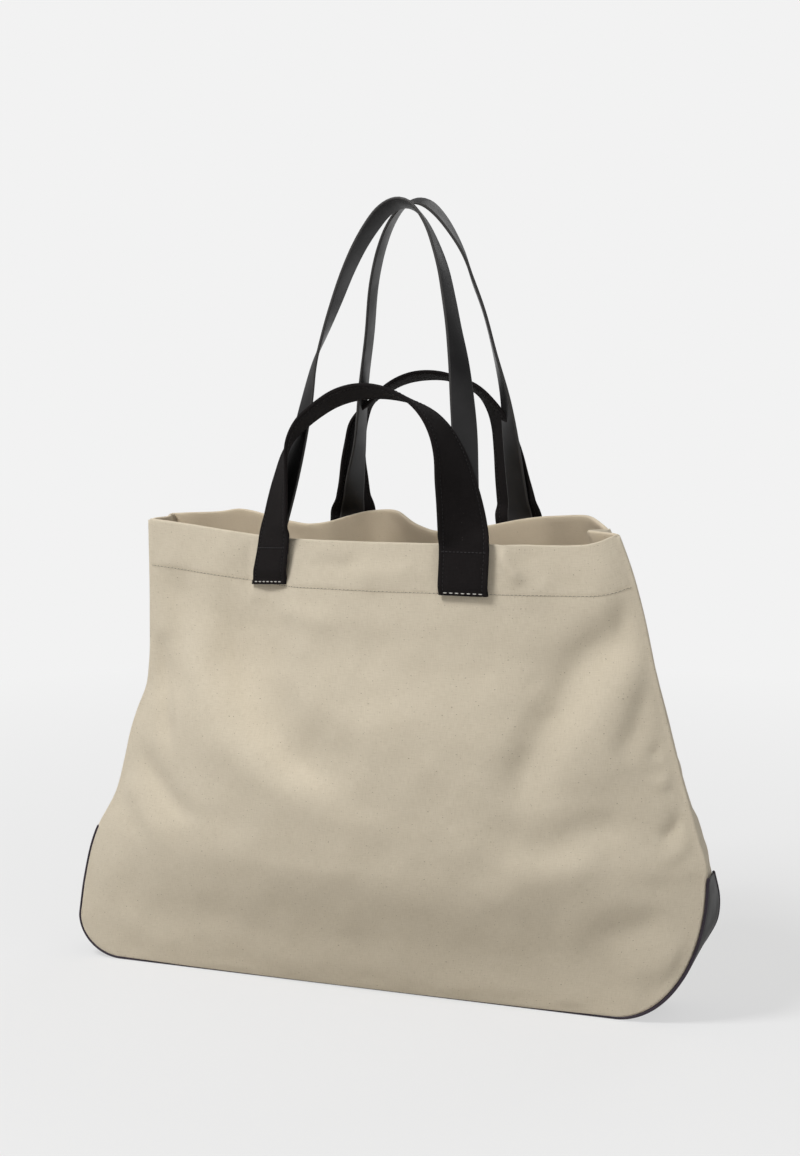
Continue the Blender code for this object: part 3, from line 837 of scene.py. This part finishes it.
def makePanel(half):
    sign = -1 if half == "front" else 1
    rounding = bag["edgeRound"]
    gaps = [bag["clothGap"][place] + rounding for place in ("left", "right", "bottom")]
    low = gaps[2]
    across = np.linspace(-1, 1, bodyMesh["panelColumns"])
    folds = frontFolds if half == "front" else backFolds

    def pointsAt(acrossGrid, heightGrid):
        return panelPoints(half, acrossGrid, heightGrid, gaps)

    grid, heights = clothSurface(pointsAt, across, low, folds, 3 if half == "front" else 11,
                                 clothForm["legs"][half], (0, sign, 0))
    outer = len(heights)
    chart = clothMap(grid, outer)
    patches = [(grid, chart)]
    # The edges turn round into the seams.
    turns = [(math.sin(a), 1 - math.cos(a)) for a in np.radians((0, 30, 60, 90))] + [(0.55, 1.9)]
    steps = np.array([0, 0.5, 1.0, 1.5, 2.2]) * rounding
    for column, side in ((0, -1), (-1, 1)):
        edge = grid[:outer, column]
        way = unit(np.gradient(edge[:, [0, 2]], axis=0))
        out = np.stack([way[:, 1], np.zeros(outer), -way[:, 0]], axis=1)
        out *= np.where(out[:, [0]] * side < 0, -1, 1)
        out[0] = (0, 0, -1)
        turned = [edge + out * rounding * a - np.array([0, sign * rounding * b, 0]) for a, b in turns]
        strip = np.stack(turned, axis=1)
        beside = np.stack([steps * side, 0 * steps], axis=1)
        patches.append((strip, chart[:outer, [column]] + beside[None]))
    edge = grid[0]
    turned = [edge + np.array([0, -sign * rounding * b, -rounding * a]) for a, b in turns]
    below = np.stack([0 * steps, -steps], axis=1)
    patches.append((np.stack(turned, axis=0), chart[[0]] + below[:, None]))
    piece = meshFromGrids(half + "PanelCanvas", patches)
    thickened(piece, bag["clothThickness"], (0, sign, 0))
    finishPiece(piece, "bag", [half + "_panel"], canvas)
    return grid, heights


def makeSide(side):
    sign = -1 if side == "left" else 1
    low = min(bag["leatherTop"][side]) - bag["underLeather"]
    inset = bag["seamInset"]

    def pointsAt(alongGrid, heightGrid):
        return sidePoints(side, alongGrid, heightGrid, inset)

    along = np.linspace(-1, 1, bodyMesh["sideColumns"])
    seed = 21 if side == "left" else 27
    grid, heights = clothSurface(pointsAt, along, low, sideFolds[side], seed, (), (sign, 0, 0))
    piece = meshFromGrids(side + "SideCanvas", [(grid, clothMap(grid, len(heights)))])
    thickened(piece, bag["clothThickness"], (sign, 0, 0))
    finishPiece(piece, "bag", [side + "_gusset"], canvas)
    return grid, heights


clothGrids = {}
for half in ("front", "back"):
    clothGrids[half] = makePanel(half)
for side in ("left", "right"):
    clothGrids[side] = makeSide(side)
print("Canvas body made")


# Stitches

def makeStitches(name, rows, stitch, material, nodes, body):
    # Short threads lying along a seam, each dipping into the cloth at both ends. A row of them
    # has their places, the ways that they run and the ways that they face.
    spots, ways, normals = (np.concatenate(parts) for parts in zip(*rows))
    length, radius = stitch["length"], stitch["radius"]
    ways = unit(ways)
    aside = unit(np.cross(normals, ways))
    normals = np.cross(ways, aside)
    rings, sides = stitchShape["rings"], stitchShape["sides"]
    template = []
    for s in np.linspace(-1, 1, rings):
        thick = radius * math.sqrt(max(1 - (0.92 * s) ** 2, 0))
        for k in range(sides):
            angle = 2 * math.pi * k / sides
            lift = radius * (0.75 - 1.1 * s * s)
            template.append((s * length / 2, thick * math.cos(angle), lift + thick * math.sin(angle)))
    template = np.array(template)
    points = (spots[:, None] + template[None, :, [0]] * ways[:, None]
              + template[None, :, [1]] * aside[:, None] + template[None, :, [2]] * normals[:, None])
    faces, charts = [], []
    count = rings * sides
    for n in range(len(spots)):
        base = n * count
        for r in range(rings - 1):
            for k in range(sides):
                after = (k + 1) % sides
                faces.append((base + r * sides + k, base + r * sides + after,
                              base + (r + 1) * sides + after, base + (r + 1) * sides + k))
                charts += [(r, k), (r, k + 1), (r + 1, k + 1), (r + 1, k)]
        faces.append(tuple(base + k for k in reversed(range(sides))))
        charts += [(0, 0)] * sides
        faces.append(tuple(base + (rings - 1) * sides + k for k in range(sides)))
        charts += [(0, 0)] * sides
    mesh = meshWithMap(name, points, faces, charts)
    return finishPiece(newObject(name, mesh), body, nodes, material)


def alongLine(line, pitch):
    # Evenly spaced places on a line of points, with the way of the line there.
    reach = runLengths(line)
    count = int(reach[-1] / pitch)
    at = (np.arange(count) + 0.5) * pitch + (reach[-1] - count * pitch) / 2
    spots = np.stack([np.interp(at, reach, line[:, i]) for i in range(3)], axis=1)
    ahead = np.stack([np.interp(at + pitch / 4, reach, line[:, i]) for i in range(3)], axis=1)
    behind = np.stack([np.interp(at - pitch / 4, reach, line[:, i]) for i in range(3)], axis=1)
    return spots, ahead - behind


hemStitch = {"pitch": 0.00325, "length": 0.0031, "radius": 0.00036}


def hemStitches(place, outward, node):
    # One row on the outer face and one on the inside of the hem.
    grid, heights = clothGrids[place]
    row = int(np.argmin(np.abs(heights - (bag["rim"] - bag["stitchDrop"]))))
    rows = []
    for line, side in ((grid[row], 1), (grid[-2], -1)):
        places, way = alongLine(line, hemStitch["pitch"])
        flat = np.cross(way, (0, 0, 1))
        flat *= np.sign((flat * np.array(outward)).sum(1))[:, None] * side
        rows.append((places, way, unit(flat)))
    return makeStitches(place + "HemStitches", rows, hemStitch, hemThread, [node], "bag")


outwardWays = {"front": (0, -1, 0), "back": (0, 1, 0), "left": (-1, 0, 0), "right": (1, 0, 0)}
for place, outward in outwardWays.items():
    hemStitches(place, outward, place + "_hem_thread")
print("Hem stitched")


# Leather strip under the base, and the cords in its seams

baseStrip = {
    "thickness": 0.0022,
    "crown": 0.0006,
    "softEdge": 0.0005,
    "columns": 9,
    "cornerSteps": 48,
    "cornerDense": 1.7,
    "flatSteps": 60,
}
pipingCord = {"radius": 0.0013, "sides": 12}


def outlineRun(half, inset):
    # The bag's outline from one top of the leather, under the base, to the other, in X and Z.
    runs = {}
    shares = np.linspace(0, 1, baseStrip["cornerSteps"]) ** baseStrip["cornerDense"]
    for side in ("left", "right"):
        top = bag["leatherTop"][side][0 if half == "front" else 1]
        heights = inset + (top - inset) * shares
        reach = edgeReach(half, side, heights, inset, inset)
        runs[side] = np.stack([reach, heights], axis=1)
    left = runs["left"][::-1] * np.array([-1, 1])
    flat = np.linspace(left[-1, 0], runs["right"][0, 0], baseStrip["flatSteps"])[1:-1]
    bottom = np.stack([flat, np.full(len(flat), inset)], axis=1)
    return np.concatenate([left, bottom, runs["right"]])


def makeBase():
    half = -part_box("base_strip")[0].y
    front, back = outlineRun("front", 0), outlineRun("back", 0)
    across = np.linspace(-1, 1, baseStrip["columns"])
    grid = np.zeros((len(front), len(across), 3))
    for j, a in enumerate(across):
        run = front + (back - front) * (a + 1) / 2
        way = unit(np.gradient(run, axis=0))
        drop = baseStrip["crown"] * a * a
        grid[:, j, 0] = run[:, 0] - way[:, 1] * drop
        grid[:, j, 1] = a * half
        grid[:, j, 2] = run[:, 1] + way[:, 0] * drop
    piece = meshFromGrids("baseLeatherStrip", [(grid, clothMap(grid))])
    thickened(piece, baseStrip["thickness"], (0, 0, -1))
    edge = piece.modifiers.new("softEdge", "BEVEL")
    edge.width = baseStrip["softEdge"]
    edge.segments = 2
    edge.angle_limit = math.radians(50)
    applied(piece)
    return finishPiece(piece, "bag", ["base_strip"], baseLeather)


def makeTube(name, line, radius, sides):
    # A cord along a line of points, closed at both ends.
    way = unit(np.gradient(line, axis=0))
    aside = np.tile(np.array([0.0, 1.0, 0.0]), (len(line), 1))
    up = np.cross(way, aside)
    rings = []
    for k in range(sides + 1):
        angle = 2 * math.pi * k / sides
        rings.append(line + radius * (aside * math.cos(angle) + up * math.sin(angle)))
    grid = np.stack(rings, axis=1)
    tips = []
    for end, sign in ((0, -1), (-1, 1)):
        cap = line[end] + (grid[end] - line[end]) * 0.6 + way[end] * sign * radius * 0.7
        tips.append((cap, line[end] + way[end] * sign * radius * 0.9 + 0 * cap))
    grid = np.concatenate([tips[0][1][None], tips[0][0][None], grid, tips[1][0][None], tips[1][1][None]])
    return meshFromGrids(name, [(grid, clothMap(grid))])


def makePiping(half):
    sign = -1 if half == "front" else 1
    run = outlineRun(half, pipingCord["radius"] + 0.0001)
    depth = bag["seamDepth"] - pipingCord["radius"] + 0.0002
    line = np.stack([run[:, 0], np.full(len(run), sign * depth), run[:, 1]], axis=1)
    piece = makeTube(half + "PipingCord", line, pipingCord["radius"], pipingCord["sides"])
    facedOutward(piece.data)
    return finishPiece(piece, "bag", [half + "_piping"], pipingLeather)


makeBase()
for half in ("front", "back"):
    makePiping(half)
print("Base strip and piping made")


# Handles and straps: flat bands that rise from two sewn ends and turn edge-on over the top.
# A route's points are (x, height, degrees that the band has turned about its own line).

bands = {
    "front_handle": {
        "width": 0.040, "thickness": 0.0034, "lean": -1.9, "endSlope": {"left": -0.12, "right": 0.0},
        "route": (
            (-0.0860, 0.338, 34), (-0.0795, 0.373, 35), (-0.0770, 0.392, 41), (-0.0720, 0.422, 53),
            (-0.0665, 0.446, 67), (-0.0600, 0.459, 82), (-0.0490, 0.473, 94), (-0.0320, 0.486, 100),
            (-0.0120, 0.4955, 108), (0.0080, 0.499, 111), (0.0260, 0.4975, 109), (0.0430, 0.492, 103),
            (0.0560, 0.483, 95), (0.0660, 0.470, 86), (0.0725, 0.455, 76), (0.0775, 0.434, 60),
            (0.0815, 0.413, 46), (0.0840, 0.394, 30), (0.0850, 0.380, 12), (0.0855, 0.3425, 8),
        ),
    },
    "back_handle": {
        "width": 0.040, "thickness": 0.0034, "lean": 1.0, "endSlope": {"left": 0.0, "right": 0.0},
        "route": (
            (-0.0620, 0.340, 35), (-0.0610, 0.373, 48), (-0.0610, 0.391, 64), (-0.0605, 0.408, 75),
            (-0.0605, 0.426, 83), (-0.0585, 0.443, 88), (-0.0550, 0.459, 90), (-0.0485, 0.4705, 96),
            (-0.0380, 0.479, 94), (-0.0220, 0.4905, 86), (-0.0020, 0.4975, 78), (0.0180, 0.4985, 75),
            (0.0360, 0.494, 72), (0.0510, 0.4865, 66), (0.0620, 0.4735, 58), (0.0695, 0.459, 48),
            (0.0745, 0.441, 38), (0.0790, 0.415, 27), (0.0825, 0.396, 19), (0.0850, 0.380, 17),
            (0.0860, 0.340, 15),
        ),
    },
    "front_strap": {
        "width": 0.021, "thickness": 0.0026, "lean": 11.9, "endSlope": {"left": -0.12, "right": 0.0},
        "route": (
            (-0.0840, 0.3480, 34), (-0.0785, 0.375, 34), (-0.0695, 0.425, 28), (-0.0626, 0.466, 38),
            (-0.0598, 0.485, 45), (-0.0553, 0.517, 65), (-0.0490, 0.538, 80), (-0.0410, 0.563, 92),
            (-0.0315, 0.591, 99), (-0.0235, 0.609, 104), (-0.0145, 0.624, 109), (-0.0040, 0.6370, 112),
            (0.0070, 0.6425, 115), (0.0170, 0.6415, 114), (0.0255, 0.635, 107), (0.0340, 0.624, 103),
            (0.0420, 0.609, 96), (0.0485, 0.594, 90), (0.0560, 0.569, 83), (0.0620, 0.546, 77),
            (0.0680, 0.521, 62), (0.0735, 0.491, 45), (0.0775, 0.466, 33), (0.0805, 0.436, 24),
            (0.0835, 0.405, 16), (0.0850, 0.375, 12), (0.0855, 0.3480, 8),
        ),
    },
    "back_strap": {
        "width": 0.021, "thickness": 0.0026, "lean": 9.5, "endSlope": {"left": 0.0, "right": 0.0},
        "route": (
            (-0.0620, 0.348, 35), (-0.0610, 0.375, 48), (-0.0570, 0.405, 62), (-0.0500, 0.440, 84),
            (-0.0430, 0.490, 92), (-0.0350, 0.532, 93), (-0.0270, 0.580, 93), (-0.0190, 0.606, 93),
            (-0.0105, 0.6240, 94), (-0.0010, 0.6365, 96), (0.0090, 0.643, 97), (0.0205, 0.6415, 96),
            (0.0315, 0.632, 90), (0.0410, 0.6185, 83), (0.0500, 0.601, 74), (0.0565, 0.580, 68),
            (0.0640, 0.557, 68), (0.0720, 0.521, 66), (0.0790, 0.484, 52), (0.0815, 0.455, 37),
            (0.0840, 0.420, 27), (0.0865, 0.388, 18), (0.0870, 0.348, 15),
        ),
    },
}
bandMesh = {"stations": 181, "smoothing": 3, "splitHeight": 0.0065, "bendReach": 0.014}

# How a band lies on its panel: where a handle's foot comes down to the cloth, how far apart the
# cloth is felt for its slope and its height at the rim, and where the band leaves the cloth.
bandSeat = {
    "footHeight": 0.3415,
    "footRise": 0.009,
    "slopeStep": 0.011,
    "rimSpan": 0.018,
    "looseBelow": 0.004,
    "looseOver": 0.016,
    "seamShare": 0.86,
}


def bandSection(width, thickness, seam):
    # The outline of a band's cross-section: rounded edges, a low crown and a sewn-down line.
    half, edge = width / 2, thickness / 2
    points = []
    for start in (0, 180):
        for angle in np.linspace(start - 90, start + 90, 9)[1:-1]:
            a = math.radians(angle)
            centre = (half - edge) * (1 if start == 0 else -1)
            points.append((centre + edge * 0.95 * math.cos(a), edge * 0.92 * math.sin(a)))
        side = 1 if start == 0 else -1
        shares = (1.0, 0.0) if not seam else (1.0, seam + 0.04, seam, seam - 0.04, 0.6, 0.3, 0.0)
        reach = half - edge
        row = list(shares) + [-s for s in reversed(shares[:-1])]
        for s in row:
            dip = 0.28 * edge if seam and abs(abs(s) - seam) < 0.01 else 0
            crown = 0.08 * edge * (1 - s * s)
            points.append((side * s * reach, side * (edge * 0.92 + crown - dip)))
    return np.array(points)


def bandFrames(name):
    # Middle, width direction and length for each station: flat on the panel where the band is
    # sewn on, then along its route over the rim.
    half, kind = name.split("_")
    shape = bands[name]
    sign = -1 if half == "front" else 1
    inward = np.array([0, -sign, 0.0])
    route = np.array(shape["route"])
    reach = runLengths(route[:, :2])
    line = curveThrough(np.column_stack([reach, route]), np.linspace(0, reach[-1], bandMesh["stations"]))
    for _ in range(bandMesh["smoothing"]):
        line[1:-1] = (line[:-2] + 2 * line[1:-1] + line[2:]) / 4
    x, height, turn = line.T
    side = np.where(np.arange(len(x)) < len(x) / 2, -1, 1)
    above = np.nonzero(height > bag["rim"])[0]
    roots = x[[above[0], above[-1]]]
    share = np.clip((x - roots[0]) / (roots[1] - roots[0]), 0, 1)
    # The cloth's edge may stand higher under one side of the band than the plain rim.
    span = bandSeat["rimSpan"]
    crests = [panelAt(half, roots + s, bag["rim"])[:, 2] for s in (-span, 0, span)]
    rim = np.maximum(np.max(crests, axis=0), bag["rim"])[(side > 0).astype(int)]
    free = height > rim
    spot = np.where(free, roots[(side > 0).astype(int)], x)
    level = np.minimum(height, bag["rim"])
    stand = shape["thickness"] / 2 + 2 * touch
    if kind == "handle":
        # A handle's ends lie on the strap's, and come down to the cloth just below them.
        below = bands[half + "_strap"]["thickness"] + touch
        stand = stand + below * smoothStep((height - bandSeat["footHeight"]) / bandSeat["footRise"])
    step = bandSeat["slopeStep"]
    faces = [panelAt(half, spot + s, level)[:, 1] for s in (-step, 0, step)]
    panelTurn = np.arctan((faces[2] - faces[0]) / (2 * step) * inward[1] * side)
    outer = (faces[0] + 2 * faces[1] + faces[2]) / 4 + sign * stand / np.cos(panelTurn)
    ends = outer[[above[0], above[-1]]]
    depth = np.where(free, ends[0] + (ends[1] - ends[0]) * share, outer)
    over = np.maximum(height - rim, 0)
    depth -= sign * over * math.tan(math.radians(shape["lean"]))
    middle = np.stack([x, depth, height], axis=1)
    ahead = unit(np.gradient(middle, axis=0))
    inwardWay = unit(inward[None] - ahead * (ahead @ inward)[:, None])
    outward = np.cross(ahead, inwardWay) * (1 if half == "front" else -1)
    loose = smoothStep((height - rim + bandSeat["looseBelow"]) / bandSeat["looseOver"])
    turn = (np.radians(turn) * loose + panelTurn * (1 - loose))[:, None]
    wide = outward * np.cos(turn) + inwardWay * np.sin(turn)
    slope = np.where(side < 0, shape["endSlope"]["left"], shape["endSlope"]["right"])[:, None]
    flat = np.column_stack([side, 0 * side, 0 * side]) * np.cos(turn) + inward[None] * np.sin(turn)
    flat += slope * np.array([0, 0, 1.0])
    wide = unit(wide * loose[:, None] + flat * (1 - loose[:, None]))
    return middle, wide, ahead


def bandGrid(name, middle, wide, ahead):
    shape = bands[name]
    seam = bandSeat["seamShare"] if "handle" in name else 0
    section = bandSection(shape["width"], shape["thickness"], seam)
    normal = unit(np.cross(wide, ahead))
    across, through = section[None, :, [0]], section[None, :, [1]]
    grid = middle[:, None] + across * wide[:, None] + through * normal[:, None]
    return grid, section, normal


def bandPiece(pieceName, name, grid, section, start, stop):
    # One length of a band, closed at both ends, with its cut edges marked for the leather's painted
    # highlight.
    part = grid[start:stop]
    rows, count = part.shape[:2]
    lengths = runLengths(grid.mean(1))[start:stop]
    around = runLengths(np.vstack([section, section[:1]]))
    faces, charts = [], []
    for i in range(rows - 1):
        for j in range(count):
            after = (j + 1) % count
            here, above = i * count, (i + 1) * count
            faces.append((here + j, here + after, above + after, above + j))
            charts += [(around[j], lengths[i]), (around[j + 1], lengths[i]),
                       (around[j + 1], lengths[i + 1]), (around[j], lengths[i + 1])]
    for row, order in ((0, reversed(range(count))), (rows - 1, range(count))):
        order = list(order)
        faces.append(tuple(row * count + j for j in order))
        charts += [tuple(section[j]) for j in order]
    mesh = meshWithMap(pieceName, part, faces, charts)
    half, edge = bands[name]["width"] / 2, bands[name]["thickness"] / 2
    cut = smoothStep((np.abs(section[:, 0]) - (half - 1.05 * edge)) / (0.5 * edge))
    mark = mesh.attributes.new("cutEdge", "FLOAT", "POINT")
    mark.data.foreach_set("value", np.tile(cut, rows).astype(np.float32))
    mesh.set_sharp_from_angle(angle=math.radians(60))
    facedOutward(mesh)
    return newObject(pieceName, mesh)


edgeStitch = {"pitch": 0.0033, "length": 0.0026, "radius": 0.00028}
endStitch = {"pitch": 0.0047, "length": 0.0042, "radius": 0.00043, "stand": 0.45, "rise": 0.0030}
tackStitch = {"pitch": 0.0030, "length": 0.0027, "radius": 0.00036, "stand": 0.47, "drop": 0.0068}
rowMargin = 0.0018  # from the end of a row across a foot to the band's edge


def makeBand(name):
    half, kind = name.split("_")
    shape = bands[name]
    middle, wide, ahead = bandFrames(name)
    grid, section, normal = bandGrid(name, middle, wide, ahead)
    axis = Vector(foldPoint)
    if half == "back":
        axis.y = -axis.y
    total = len(grid)
    if kind == "strap":
        piece = bandPiece(half + "StrapLeather", name, grid, section, 0, total)
        nodes = [name, f"{half}_strap_left_end", f"{half}_strap_right_end"]
        finishPiece(piece, None, nodes, strapLeather)
        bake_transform(piece)
        return
    joined = axis + Vector((0, 0, bandMesh["splitHeight"]))
    above = np.nonzero(middle[:, 2] > joined.z)[0]
    first, last = int(above[0]), int(above[-1]) + 1
    for side, start, stop in (("Left", 0, first + 1), ("", first, last), ("Right", last - 1, total)):
        label = half + "Handle" + (side + "End" if side else "Loop")
        piece = bandPiece(label, name, grid, section, start, stop)
        node = f"{half}_handle_{side.lower()}_end" if side else name
        finishPiece(piece, None, [node], webbing)
        # Stitches in black thread along both edges, on both faces.
        rows = []
        seamPlace = bandSeat["seamShare"] * (shape["width"] - shape["thickness"]) / 2
        for across in (-1, 1):
            for face in (-1, 1):
                line = middle + wide * across * seamPlace + normal * face * shape["thickness"] * 0.42
                line = line[start:stop]
                places, way = alongLine(line, edgeStitch["pitch"])
                at = np.array([np.argmin(np.linalg.norm(line - p, axis=1)) for p in places])
                rows.append((places, way, normal[start:stop][at] * face))
        stitches = makeStitches(label + "Stitches", rows, edgeStitch, blackThread, [], None)
        for made in (piece, stitches):
            if side:
                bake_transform(made)
            else:
                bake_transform(made)
        if side:
            makeEndStitches(half, side, middle, wide, normal, shape)


def makeEndStitches(half, side, middle, wide, normal, shape):
    # The white row across the foot of a sewn end, and the black one just below the rim.
    order = slice(None) if side == "Left" else slice(None, None, -1)
    middle, wide, normal = middle[order], wide[order], normal[order]
    spread = np.linspace(-1, 1, 40)[:, None] * (shape["width"] / 2 - rowMargin)

    def crossRow(label, row, stitch, thread, nodes):
        facing = normal[row] if normal[row][1] * (-1 if half == "front" else 1) > 0 else -normal[row]
        line = middle[row] + facing * shape["thickness"] * stitch["stand"] + spread * wide[row]
        places, way = alongLine(line, stitch["pitch"])
        rows = [(places, way, np.tile(facing, (len(places), 1)))]
        makeStitches(half + side + label, rows, stitch, thread, nodes, "bag")

    foot = int(np.argmin(np.abs(runLengths(middle) - endStitch["rise"])))
    crossRow("EndStitches", foot, endStitch, whiteThread,
             [f"{half}_{side.lower()}_end_thread"])
    rimHere = panelAt(half, middle[foot, 0], bag["rim"])[2]
    lower = middle[: len(middle) // 3, 2]
    tack = int(np.argmin(np.abs(lower - (rimHere - tackStitch["drop"]))))
    crossRow("TackStitches", tack, tackStitch, tackThread, [])


for name in bands:
    makeBand(name)
print("Handles and straps made")


# Floor, light and camera

studio = {
    "floorReach": 6.0,
    "backdrop": (0.888, 0.888, 0.888),
    "bounce": (0.62, 0.61, 0.59),
    "shaded": (0.70, 0.70, 0.70),
    "shadowKept": 0.34,
    "shadowReach": (0.35, 1.3),
    "worldStrength": 0.325,
    "keyPower": 82.0,
    "keySize": 1.0,
    "keyPlace": (-1.05, -1.60, 2.90),
    "fillPower": 8.0,
    "fillSize": 1.8,
    "fillPlace": (2.3, -1.7, 1.3),
    "backPower": 14.0,
    "backPlace": (0.6, 2.4, 1.9),
    "aim": (0, 0, 0.2),
    "backAim": (0, 0, 0.3),
}


def makeFloor():
    mesh = bpy.data.meshes.new("floor")
    reach = studio["floorReach"]
    corners = [(-reach, -reach, 0), (reach, -reach, 0), (reach, reach, 0), (-reach, reach, 0)]
    mesh.from_pydata(corners, [], [(0, 1, 2, 3)])
    floor = newObject("floor", mesh)
    floor.location.z = -0.0002  # just under the base, so that the two faces don't flicker
    material, tree, shader = newMaterial("floor", 0.9)
    shader.inputs["Base Color"].default_value = rgb(studio["bounce"])
    # Seen by the camera it is the backdrop's own tone, with the bag's soft shadow kept near it.
    plain = addNode(tree, "ShaderNodeEmission", {"Color": rgb(studio["backdrop"]), "Strength": 1.0})
    shaded = addNode(tree, "ShaderNodeBsdfDiffuse", {"Color": rgb(studio["shaded"])})
    place = addNode(tree, "ShaderNodeNewGeometry")
    away = addNode(tree, "ShaderNodeVectorMath", {0: place.outputs["Position"]}, operation="LENGTH")
    kept = ranged(tree, away.outputs["Value"], *studio["shadowReach"], studio["shadowKept"], 0.0)
    seen = mixShaders(tree, kept, plain, shaded)
    path = addNode(tree, "ShaderNodeLightPath")
    shown = mathOf(tree, "MAXIMUM", path.outputs["Is Camera Ray"], path.outputs["Is Glossy Ray"])
    mixed = mixShaders(tree, shown, shader, seen)
    tree.links.new(mixed.outputs[0], tree.nodes["Material Output"].inputs["Surface"])
    mesh.materials.append(material)


def makeWorld():
    world = bpy.data.worlds.new("studio")
    bpy.context.scene.world = world
    world.use_nodes = True
    tree = world.node_tree
    light = tree.nodes["Background"]
    light.inputs["Color"].default_value = (1, 1, 1, 1)
    light.inputs["Strength"].default_value = studio["worldStrength"]
    seen = addNode(tree, "ShaderNodeBackground", {"Color": rgb(studio["backdrop"]), "Strength": 1.0})
    path = addNode(tree, "ShaderNodeLightPath")
    mixed = mixShaders(tree, path.outputs["Is Camera Ray"], light, seen)
    tree.links.new(mixed.outputs[0], tree.nodes["World Output"].inputs["Surface"])


def makeLight(name, power, size, place, aim):
    lamp = bpy.data.lights.new(name, "AREA")
    lamp.shape = "DISK"
    lamp.size = size
    lamp.energy = power
    stand = newObject(name, lamp)
    stand.location = place
    stand.rotation_euler = (Vector(aim) - Vector(place)).to_track_quat("-Z", "Y").to_euler()


# The photograph's camera, its focal length and height in pixels.
photo = {
    "azimuth": 21.0,
    "elevation": 10.0,
    "distance": 2.28,
    "focal": 2812.0,
    "height": 1156,
    "aim": (0.0065, 0, 0.340),
}


def makeCamera():
    camera = bpy.data.cameras.new("camera")
    camera.sensor_width = 36
    camera.lens = photo["focal"] * camera.sensor_width / photo["height"]
    stand = newObject("camera", camera)
    a, e = math.radians(photo["azimuth"]), math.radians(photo["elevation"])
    back = Vector((math.sin(a) * math.cos(e), -math.cos(a) * math.cos(e), math.sin(e)))
    stand.location = Vector(photo["aim"]) + back * photo["distance"]
    stand.rotation_euler = (-back).to_track_quat("-Z", "Y").to_euler()
    bpy.context.scene.camera = stand


makeFloor()
makeWorld()
makeLight("key", studio["keyPower"], studio["keySize"], studio["keyPlace"], studio["aim"])
makeLight("fill", studio["fillPower"], studio["fillSize"], studio["fillPlace"], studio["aim"])
makeLight("back", studio["backPower"], studio["fillSize"], studio["backPlace"], studio["backAim"])
makeCamera()
bpy.context.scene.view_settings.view_transform = "Standard"
print("Studio made")
